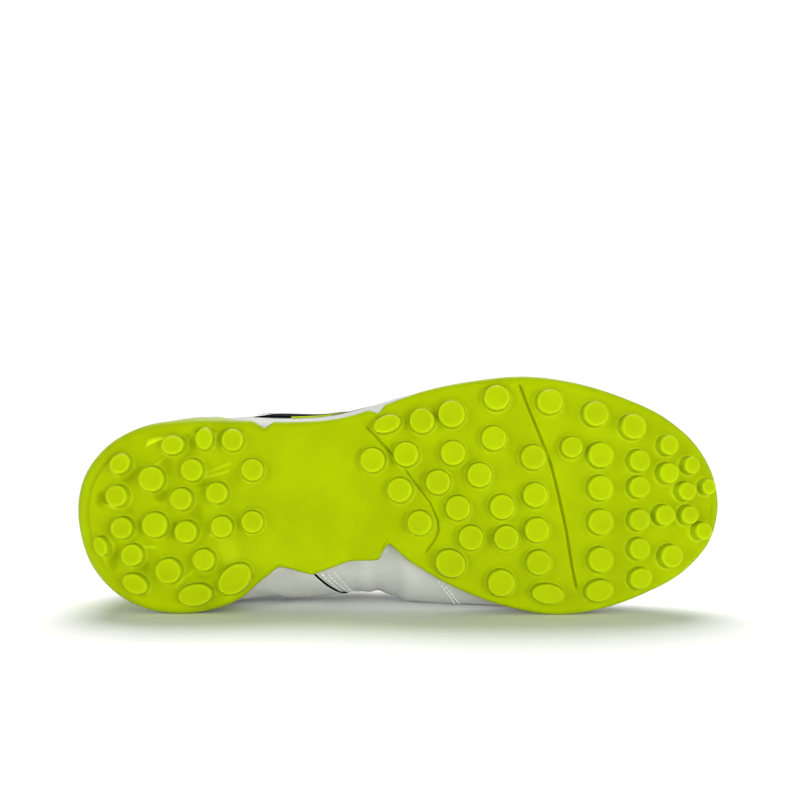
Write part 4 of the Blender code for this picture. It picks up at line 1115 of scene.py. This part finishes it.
def make_studs():
    """Every stud: its profile turned round an ellipse, leaning with the underside there.
    Where the sole lies low, it stands upright and ends on the ground."""
    x, y, heading, half_length, half_width = stud_places().T[:, :, None, None]
    under = sole_heights(x)[1]
    rise = sole_heights(x + SLOPE_RUN)[1] - sole_heights(x - SLOPE_RUN)[1]
    low = under < STUD_LENGTH * STUD_SPARE
    tilt = np.where(low, 0.0, STUD_LEAN * np.arctan2(rise, 2 * SLOPE_RUN))
    length = np.where(low, under, STUD_LENGTH)
    grow, height = np.array(STUD_PROFILE).T[:, None, :, None]
    angle = (2 * math.pi * np.arange(STUD_ROUND) / STUD_ROUND)[None, None, :]
    u = (half_length + np.maximum(grow, -0.9 * half_length)) * np.cos(angle)
    w = (half_width + np.maximum(grow, -0.9 * half_width)) * np.sin(angle)
    h = -height * length + 0 * angle
    across = u * np.sin(heading) + w * np.cos(heading)
    along = u * np.cos(heading) - w * np.sin(heading)
    points = with_tips(np.stack(np.broadcast_arrays(
        x + along * np.cos(tilt) - h * np.sin(tilt),
        y + across,
        under + along * np.sin(tilt) + h * np.cos(tilt),
    ), axis=-1))
    # Painted light: the walls are painted paler than the tips, to lift the shade on them
    wall = smooth_step(-TIP_INSET, 0.0, np.pad(grow[0, :, 0], 1, mode="edge"))
    tone = TIP_PAINTED_LIGHT + (WALL_PAINTED_LIGHT - TIP_PAINTED_LIGHT) * wall
    raised = np.broadcast_to(tone[None, :, None], points.shape[:3])
    marks = {"raised": raised}
    obj = make_piece("outsole_studs", points, ring_quads(points), LIME, "lime_rubber", marks=marks)
    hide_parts("outsole")


# The upper, and what is on it


def collar_share(g):
    """1 round the ankle opening and 0 along the throat and over the toe."""
    return 1 - smooth_step(0.36, 0.44, turn_of(g))


def wall_depth(g, v):
    """Thickness of the upper's wall: leather and lining, and a pad round the collar."""
    pad = collar_share(g) * smooth_step(0.45, 0.85, v)
    return WALL + (COLLAR_PAD - WALL) * pad


def make_upper():
    """Hollow upper: outer skin, rolled top edge, lining, and the lasting margin below."""
    g = (np.arange(440) / 440)[:, None]
    v = (np.arange(73) / 72)[None, :]
    outer = skin(g, v)
    few = (np.arange(25) / 24)[None, :]
    inner = skin(g, few, -wall_depth(g, few))
    inner[:, 0, 2] = outer[:, 0, 2]
    top, down = outer[:, -1:], inner[:, -1:]
    middle, half = (top + down) / 2, (top - down) / 2
    lift = np.linalg.norm(half, axis=-1, keepdims=True) * EDGE_ROLL
    arc = []
    for k in range(1, 6):
        angle = math.pi * k / 6
        point = middle + half * math.cos(angle)
        point[..., 2:] += lift * math.sin(angle)
        arc.append(point)
    points = np.concatenate([outer, *arc, inner[:, ::-1]], axis=1)
    quads = grid_quads(*points.shape[:2], True, True)
    lining = np.tile(np.arange(points.shape[1]) >= outer.shape[1], len(points))
    leather = (WHITE, TEXTILE)
    obj = make_piece("upper_shell", points, quads, leather, "white_leather", finish=lining)
    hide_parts("upper")
    return obj


def make_panel(name, corners, counts, material, slot, node, skive=0.0):
    """Panel on the upper: corners(a, b) gives place and share, the edge is rolled under,
    and the rear end is pared down by the share skive."""
    probe_a, probe_b = np.linspace(0, 1, 40)[:, None], np.linspace(0, 1, 12)[None, :]
    probe = skin(*np.broadcast_arrays(*corners(probe_a, probe_b)))
    long = np.linalg.norm(np.diff(probe, axis=0), axis=-1).sum(axis=0).mean()
    wide = np.linalg.norm(np.diff(probe, axis=1), axis=-1).sum(axis=1).mean()
    roll = 0.9 * OVERLAY
    a = bunched(counts[0], roll / long)[:, None]
    b = bunched(counts[1], roll / wide)[None, :]
    g, v = np.broadcast_arrays(*corners(a, b))
    near = np.minimum(np.minimum(a, 1 - a) * long, np.minimum(b, 1 - b) * wide)
    pared = 1 - skive * (1 - smooth_step(0, SKIVE_RUN, a))
    full = (PANEL_GAP + OVERLAY) * pared + SUNK
    outer = skin(g, v, -SUNK + full * rolled(near / roll))
    obj = make_piece(name, *closed_sheet(skin(g, v, -SUNK), outer), material, slot)
    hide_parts(node)
    return obj


def counter_corners(a, b):
    """Heel counter: round the heel back, high behind and falling to the front."""
    g = COUNTER_TURN * (a - 0.5) * (1 - 0.10 * b)
    level = 1 - smooth_step(0.05, COUNTER_TURN, np.abs(2 * g))
    low = wall_share(g, np.full_like(g, RIM_HEIGHT + 2 * GAP))
    front, gain = COUNTER_RISE
    return g, low + (front + gain * level - low) * b


def saddle_corners(side):
    """Side panel between two runs along the last, leaning forward as it rises."""
    low_run, high_run, (low, high) = SADDLES[side]

    def corners(a, b):
        rear = low_run[0] + (high_run[0] - low_run[0]) * b
        front = low_run[1] + (high_run[1] - low_run[1]) * b
        foot = low - SADDLE_SAG[side] * 4 * a * (1 - a)
        return place_of(side, rear + (front - rear) * a), foot + (high - foot) * b

    return corners


def stay_corners(a, b):
    """Eyestay: from the top eyelet round the foot of the throat to the other side."""
    g = STAY_RUN[0] + (STAY_RUN[1] - STAY_RUN[0]) * a
    low = STAY_DEPTH[0] + STAY_DEPTH[1] * smooth_step(0.55, 0.80, turn_of(g))
    return g, low + (STAY_TOP - low) * b


def eyelet_places():
    """Medial and lateral place of each pair of eyelets, from the foot of the throat up."""
    return [(turn / 2, 1 - turn / 2) for turn in np.linspace(*EYELET_TURNS, EYELET_PAIRS)]


def punch(objects):
    """Cuts every eyelet through the pieces, with pins square to the wall."""
    bm = bmesh.new()
    for medial, lateral in eyelet_places():
        for g in (medial, lateral):
            at = np.array([g])
            ends = [lay(skin(at, EYELET_LINE, out))[0] for out in (-3 * WALL, 3 * WALL)]
            low, high = Vector(ends[0]), Vector(ends[1])
            turn = (high - low).normalized().to_track_quat("Z", "Y").to_matrix().to_4x4()
            bmesh.ops.create_cone(
                bm, cap_ends=True, segments=24, radius1=EYELET_RADIUS, radius2=EYELET_RADIUS,
                depth=(high - low).length, matrix=Matrix.Translation((low + high) / 2) @ turn,
            )
    mesh = bpy.data.meshes.new("pins")
    bm.to_mesh(mesh)
    bm.free()
    pins = add_object("pins", mesh)
    for obj in objects:
        cut = obj.modifiers.new("punch", "BOOLEAN")
        cut.operation, cut.solver, cut.object = "DIFFERENCE", "EXACT", pins
        graph = bpy.context.evaluated_depsgraph_get()
        obj.data = bpy.data.meshes.new_from_object(obj.evaluated_get(graph))
        obj.modifiers.clear()
    bpy.data.objects.remove(pins)


def grid_normals(points):
    """Unit normals of a grid of points, from its rows' and columns' differences."""
    normal = np.cross(np.gradient(points, axis=0), np.gradient(points, axis=1))
    return normal / np.maximum(np.linalg.norm(normal, axis=-1), 1e-12)[..., None]


def tongue_middle():
    """Middle surface of the tongue: rows under the throat, crowned between its sides by a
    cubic arc, then its free top, which narrows as it rises."""
    depth = WALL + GAP + TONGUE_THICKNESS / 2
    places = np.linspace(TONGUE_RUN[1], TONGUE_RUN[0], 46)[:, None]
    shares = np.linspace(*TONGUE_SIDES, 13)[None, :]
    medial, lateral = (
        wall_curve(g, shares) - wall_normal(g, shares) * depth for g in (places, 1 - places)
    )
    lateral = lateral[:, ::-1]
    edge, other = medial[:, -1:], lateral[:, :1]
    span = np.linalg.norm(other - edge, axis=-1, keepdims=True) * TONGUE_CROWN
    rise, back = unit(edge - medial[:, -2:-1]), unit(other - lateral[:, 1:2])
    t = np.linspace(0, 1, 26)[1:-1][None, :, None]
    gap = cubic(t, edge, edge + rise * span, other + back * span, other)
    rows = np.concatenate([medial, gap, lateral], axis=1)
    last, middle = rows[-1], rows.shape[1] // 2
    reach = unit(rows[-1, middle] - rows[-5, middle])
    share = np.linspace(0, 1, 18)[1:, None, None]
    width = np.ones((len(share), 1, 3))
    width[..., 1:2] = 1 - TONGUE_TAPER * share**0.6
    free = last[middle] + (last - last[middle])[None] * width
    return np.concatenate([rows, free + reach * TONGUE_REACH * share], axis=0)


def make_tongue():
    """Padded tongue: both faces stand off its middle surface and meet in a round edge,
    over a twelfth of its length and a fourteenth of its width."""
    middle = tongue_middle()
    rows, columns, _ = middle.shape
    a = np.linspace(0, 1, rows)[:, None]
    b = np.linspace(0, 1, columns)[None, :]
    near = np.minimum(np.minimum(a, 1 - a) * 12, np.minimum(b, 1 - b) * 14)
    puff = grid_normals(middle) * (rolled(near)[..., None] * TONGUE_THICKNESS / 2)
    sheet = closed_sheet(middle - puff, middle + puff)
    obj = make_piece("tongue_pad", *sheet, TEXTILE, "black_textile", 1e-6)
    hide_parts("tongue")


def make_insole():
    """Loose footbed on the sole's seat, its edge rounded over."""
    along = (1 - np.cos(np.linspace(0, math.pi, 90))) / 2
    edges = []
    for side in ("medial", "lateral"):
        foot, out = feather(place_of(side, along))
        edges.append(foot - out * (WALL + 2 * GAP))
    medial, lateral = edges
    for end in (0, -1):
        medial[end] = lateral[end] = (medial[end] + lateral[end]) / 2
    b = bunched(26, 0.04)[None, :, None]
    plan = medial[:, None, :] * (1 - b) + lateral[:, None, :] * b
    seat = sole_heights(plan[..., 0])[0] + GAP
    bulge = rolled(np.minimum(b, 1 - b)[..., 0] / 0.03)
    faces = []
    for way in (-1, 1):
        height = seat + INSOLE_THICKNESS / 2 * (1 + way * bulge)
        faces.append(np.concatenate([plan, height[..., None]], axis=2))
    obj = make_piece("footbed", *closed_sheet(*faces), FOOTBED, "dark_footbed", 1e-6)
    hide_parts("insole")


def lace_bars():
    """Places of both ends of each lace bar, and its lift in the laces' own thickness."""
    pairs = eyelet_places()
    bars = [(*pairs[0], -0.3)]
    for (medial, lateral), (next_medial, next_lateral) in zip(pairs, pairs[1:]):
        bars += [(medial, next_lateral, 0.0), (lateral, next_medial, 0.4)]
    return bars


# Laces: height over the wall; then, deepest first, the points of an end inside its
# eyelet, as depth under that height and rise up the wall; width inside the eyelet,
# and the lengths from the end between which the lace opens out
LACE_OVER = PANEL_GAP + OVERLAY + 5 * GAP + LACE_THICKNESS
LACE_ENDS = ((LACE_OVER + 0.0030, -0.0004), (LACE_OVER + 0.0004, -0.0002), (0.0012, 0.0003))
LACE_BUNCHED = 0.0031
LACE_OPENS = (0.0022, 0.0085)
LACE_RINGS = 72
LACE_ROUND = 14
LACE_RING_STEP = 0.0009


def lace_end(g):
    """Point over the eyelet at g, direction up the wall, and the end's points inside."""
    at = np.array([g])
    spot = skin(at, EYELET_LINE, LACE_OVER)[0]
    rise = unit(skin(at, EYELET_LINE + 0.04, LACE_OVER)[0] - spot)
    out = wall_normal(at, np.array([EYELET_LINE]))[0]
    return spot, rise, [spot - out * depth + rise * up for depth, up in LACE_ENDS]


def lace_section():
    """Corners of a lace's section, in shares of half its width and half its thickness:
    cosine to the power 0.6 and sine to the power 0.75, which squares off the circle."""
    angle = 2 * math.pi * np.arange(LACE_ROUND) / LACE_ROUND
    cosine, sine = np.cos(angle), np.sin(angle)
    return np.sign(cosine) * np.abs(cosine) ** 0.6, np.sign(sine) * np.abs(sine) ** 0.75


def lace_run(start, stop, lift, along):
    """Rings of one bar: out of an eyelet, over the tongue in a cubic arc, and into the
    next, its section flat across the direction along."""
    (spot, rise, head), (far, back, tail) = lace_end(start), lace_end(stop)
    reach = LACE_CROWN * np.linalg.norm(far - spot)
    t = np.linspace(0.05, 0.95, 15)[:, None]
    arc = cubic(t, spot, spot + rise * reach, far + back * reach, far)
    knots = np.vstack([head, arc, tail[::-1]])
    chord = run_length(knots)
    s = np.linspace(0, chord[-1], LACE_RINGS)
    path = hermite(chord, knots, s)
    run = unit(np.gradient(path, axis=0))
    side = unit(along - run * (run @ along)[:, None])
    up = np.cross(run, side)
    up *= np.sign(up[LACE_RINGS // 2, 2])
    open_out = smooth_step(*LACE_OPENS, np.minimum(s, chord[-1] - s))
    width = (LACE_BUNCHED + (LACE_WIDTH - LACE_BUNCHED) * open_out)[:, None, None]
    path = path + up * (lift * LACE_THICKNESS * open_out)[:, None]
    across, high = (part[None, :, None] for part in lace_section())
    ring = path[:, None] + side[:, None] * across * width / 2
    return with_tips(ring + up[:, None] * high * LACE_THICKNESS / 2)


def make_laces():
    """Flat laces: each bar rises out of its eyelet, arcs over the tongue and goes in."""
    places = eyelet_places()
    first, last = (
        skin(np.array([pair[0]]), EYELET_LINE, LACE_OVER)[0] for pair in (places[0], places[-1])
    )
    grids = np.array([lace_run(*bar, unit(first - last)) for bar in lace_bars()])
    rings = np.arange(grids.shape[1])[:, None]
    marks = {
        "along": np.broadcast_to(rings * LACE_RING_STEP, grids.shape[:3]),
        "across": np.broadcast_to(lace_section()[0] * LACE_WIDTH / 2, grids.shape[:3]),
    }
    obj = make_piece(
        "lace_runs", grids, ring_quads(grids), LACE, "white_lace", 1e-6, marks=marks,
    )
    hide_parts("laces")


# Seam ahead of the outer side panel, as place round the loop and share up the wall
OUTER_SEAM = (
    (0.7872, 0.296), (0.7769, 0.335), (0.7640, 0.385), (0.7524, 0.445), (0.7410, 0.53),
    (0.7320, 0.63), (0.7250, 0.73),
)

# Sewn rows on the leather, as place round the loop and share up the wall
SEWN_ROWS = (
    ((0.2066, 0.145), (0.2109, 0.270), (0.2169, 0.48), (0.2255, 0.64)),
    ((0.2098, 0.143), (0.2139, 0.260), (0.2206, 0.47), (0.2290, 0.62)),
    ((0.2134, 0.135), (0.2169, 0.253), (0.2244, 0.47), (0.2325, 0.61)),
    ((0.2718, 0.060), (0.2779, 0.140), (0.2910, 0.455), (0.3010, 0.73)),
    ((0.2740, 0.060), (0.2801, 0.140), (0.2936, 0.455), (0.3036, 0.73)),
    ((0.7282, 0.060), (0.7221, 0.140), (0.7090, 0.455), (0.6990, 0.73)),
    ((0.7260, 0.060), (0.7199, 0.140), (0.7064, 0.455), (0.6964, 0.73)),
)

# Sewn row round the collar, and the length, spacing and radius of a stitch
COLLAR_ROW = ((-0.190, 0.950), (-0.100, 0.955), (0.000, 0.955), (0.100, 0.955), (0.190, 0.950))
STITCH = 0.0019
STITCH_PITCH = 0.0026
STITCH_RADIUS = 0.00032

# How far a row's middle line stands over the leather, the collar and a panel
SEWN_LIFT = 0.00012
COLLAR_LIFT = 0.00008
PANEL_LIFT = 0.00005


def tube(path, radius, around=10):
    """Grid of rings round a path, closed to a point at both ends.

    Each ring stands square to the run of the path, turned by one fixed direction, so
    that the rings don't twist."""
    run = unit(np.gradient(path, axis=0))
    side = unit(np.cross(run, np.array([0.1, 0.2, 1.0])))
    up = np.cross(run, side)
    angle = (2 * math.pi * np.arange(around) / around)[None, :, None]
    size = np.asarray(radius, float) * np.ones(len(path))
    turned = side[:, None] * np.cos(angle) + up[:, None] * np.sin(angle)
    ring = path[:, None] + size[:, None, None] * turned
    first = path[:1, None] - run[:1, None] * size[0] * 0.4 + 0 * ring[:1]
    last = path[-1:, None] + run[-1:, None] * size[-1] * 0.4 + 0 * ring[-1:]
    return np.concatenate([first, ring, last], axis=0)


def wall_path(points, count, out):
    """Path on the upper through (place, share) points, out metres off its face. Along it
    a step round the loop counts three times one up the wall."""
    table = np.array(points)
    step = np.hypot(np.diff(table[:, 0]) * 3, np.diff(table[:, 1]))
    chord = np.concatenate([[0], np.cumsum(step)])
    found = hermite(chord, table, np.linspace(0, chord[-1], count))
    return skin(found[:, 0], found[:, 1], out)


def make_cords():
    """Thin cords that stand half out of the seams: two black, and a lime one that
    follows the outer side panel's lower edge and turns up along its front."""
    low = np.linspace(0.50, 1.0, 50)
    up = np.linspace(0.0, 1.0, 40)[1:]
    a = np.concatenate([low, np.ones(len(up))]) + 0.006
    b = np.concatenate([np.zeros(len(low)), up]) - 0.012
    lime = skin(*saddle_corners("lateral")(a, b), 0.00030)
    even = np.linspace(0.0, 1.0, 60)
    inner = skin(*saddle_corners("medial")(np.full(60, 1.007), even), 0.0004)
    seam = wall_path(OUTER_SEAM, 60, 0.0)
    for name, path, radius, material, slot in (
        ("cord_inner", inner, 0.00048, BLACK, "black_leather"),
        ("seam_outer", seam, 0.00028, BLACK, "black_leather"),
        ("cord_lime", lime, 0.00050, LIME_SKIN, "lime_synthetic"),
    ):
        grid = tube(path, radius)
        make_piece(name, grid, grid_quads(*grid.shape[:2], False, True), material, slot, 1e-7)


def sewn(path):
    """Stitches along a path: each a short cord that dips into the leather at both ends."""
    chord = run_length(path)
    starts = np.arange(0.3 * STITCH_PITCH, chord[-1] - STITCH, STITCH_PITCH)
    share = np.linspace(0, 1, 5)
    at = starts[:, None] + STITCH * share[None, :]
    spots = np.stack([np.interp(at, chord, path[:, axis]) for axis in range(3)], axis=-1)
    size = STITCH_RADIUS * np.sqrt(np.clip(1 - (2 * share - 1) ** 2 * 0.85, 0.05, 1))
    return [tube(spot, size, 6) for spot in spots]


def panel_row(corners, a, b):
    """Path on a panel's face through its own directions a and b."""
    g, v = corners(np.asarray(a, float), np.asarray(b, float))
    return skin(g, v, PANEL_GAP + OVERLAY + PANEL_LIFT)


def make_stitches():
    """All sewn rows: beside the panels' edges, and the rows in the leather itself."""
    rows = [wall_path(points, 90, SEWN_LIFT) for points in SEWN_ROWS]
    rows.append(wall_path(COLLAR_ROW, 300, COLLAR_LIFT))
    for share in (0.955, 0.905):
        rows.append(panel_row(counter_corners, np.linspace(0.03, 0.97, 160), share))
    for a in (0.035, 0.965):
        rows.append(panel_row(counter_corners, a, np.linspace(0.10, 0.93, 60)))
    for share in (0.16, 0.30):
        rows.append(panel_row(stay_corners, np.linspace(0.01, 0.99, 300), share))
    for a in (0.05, 0.10, 0.90, 0.95):
        rows.append(panel_row(saddle_corners("lateral"), a, np.linspace(0.04, 0.96, 80)))
    grids = np.array([grid for row in rows for grid in sewn(row)])
    make_piece("stitches", grids, ring_quads(grids), THREAD, "white_lace", 1e-7)


make_plate()
make_studs()
upper = make_upper()
make_panel("counter_panel", counter_corners, (150, 40), LIME_SKIN, "lime_synthetic", "heel_counter")
make_panel(
    "saddle_outer", saddle_corners("lateral"), (60, 60), BLACK, "black_leather", "saddle_lateral",
    skive=0.85,
)
make_panel(
    "saddle_inner", saddle_corners("medial"), (60, 80), WHITE, "white_leather", "saddle_medial",
)
stay = make_panel("eyestay_panel", stay_corners, (260, 24), WHITE, "white_leather", "eyestay")
punch([upper, stay])
make_tongue()
make_insole()
make_laces()
make_cords()
make_stitches()

# Stage: half the floor's side; then each lamp's name, kind, place, size (a sun's is its
# angle), height and power, and the point that all lamps face
FLOOR_HALF = 4
LAMPS = (
    ("overhead", "SUN", (0.0, 0.7, 1.0), math.radians(42), 0, 3.0),
    ("key", "AREA", (-1.0, -1.4, 0.40), 0.8, 0.40, 8),
    ("front", "AREA", (0.50, -1.95, 0.10), 1.4, 0.18, 40),
)
LAMP_AIM = (0, 0, 0.05)

# Camera, from the photograph: its side in pixels, metres a pixel on the sole's plane,
# the column in its middle and that of the sole's rear edge; then the eye's distance
# from the ground plane, how far behind that the sole's plane lies, the width of the
# film in millimetres, and the shift that puts the shoe at its height in the picture
PICTURE = 800
PIXEL = 0.0004446
MIDDLE_COLUMN = 398.5
HEEL_COLUMN = 77
EYE_DISTANCE = 0.725
SOLE_DEPTH = 0.0165
SENSOR = 36.0
SHIFT_UP = 0.1213


def make_floor():
    """White paper floor in a white surround whose light fades to a dim ceiling."""
    mesh = bpy.data.meshes.new("floor")
    half = FLOOR_HALF
    corners = [(-half, -half, 0), (half, -half, 0), (half, half, 0), (-half, half, 0)]
    mesh.from_pydata(corners, [], [(0, 1, 2, 3)])
    mesh.materials.append(paper_floor())
    add_object("floor", mesh)
    world = bpy.data.worlds.new("studio")
    bpy.context.scene.world = world
    world.use_nodes = True
    tree = world.node_tree
    way = add_node(tree, "ShaderNodeTexCoord")
    height = add_node(tree, "ShaderNodeSeparateXYZ", {0: (way, "Generated")})
    glow = add_node(tree, "ShaderNodeMapRange", {
        "Value": (height, "Z"), "From Min": 0.30, "From Max": 0.55, "To Min": 1.06, "To Max": 0.14,
    }, interpolation_type="SMOOTHSTEP")
    background = tree.nodes["Background"]
    background.inputs["Color"].default_value = linear("#FFFFFF")
    feed(tree, background, Strength=(glow, 0))


def make_lamps():
    """Soft lamps, each aimed at the shoe's middle: a wide overhead sun and two panels."""
    for name, kind, place, size, tall, power in LAMPS:
        lamp = bpy.data.lights.new(name, kind)
        lamp.energy = power
        if kind == "SUN":
            lamp.angle = size
        else:
            lamp.shape, lamp.size, lamp.size_y = "RECTANGLE", size, tall
        obj = add_object(name, lamp)
        obj.location = place
        aim = Vector(LAMP_AIM) - Vector(place)
        obj.rotation_euler = aim.to_track_quat("-Z", "Y").to_euler()


def make_camera():
    """Camera square-on to the sole, with the picture's scale true on the sole's plane."""
    view = bpy.context.scene.view_settings
    view.view_transform, view.look = "Standard", "None"
    lens = bpy.data.cameras.new("camera")
    lens.sensor_width = SENSOR
    lens.lens = SENSOR * (EYE_DISTANCE + SOLE_DEPTH) / (PICTURE * PIXEL)
    lens.shift_y = SHIFT_UP
    camera = add_object("camera", lens)
    along = (MIDDLE_COLUMN - HEEL_COLUMN) * PIXEL - SOLE_LIP
    eye = lay(np.array([along, 0.0, -EYE_DISTANCE]))
    axes = TURN * (1, -1, -1)
    camera.matrix_world = Matrix.Translation(Vector(eye)) @ Matrix(axes.tolist()).to_4x4()
    bpy.context.scene.camera = camera


make_floor()
make_lamps()
make_camera()
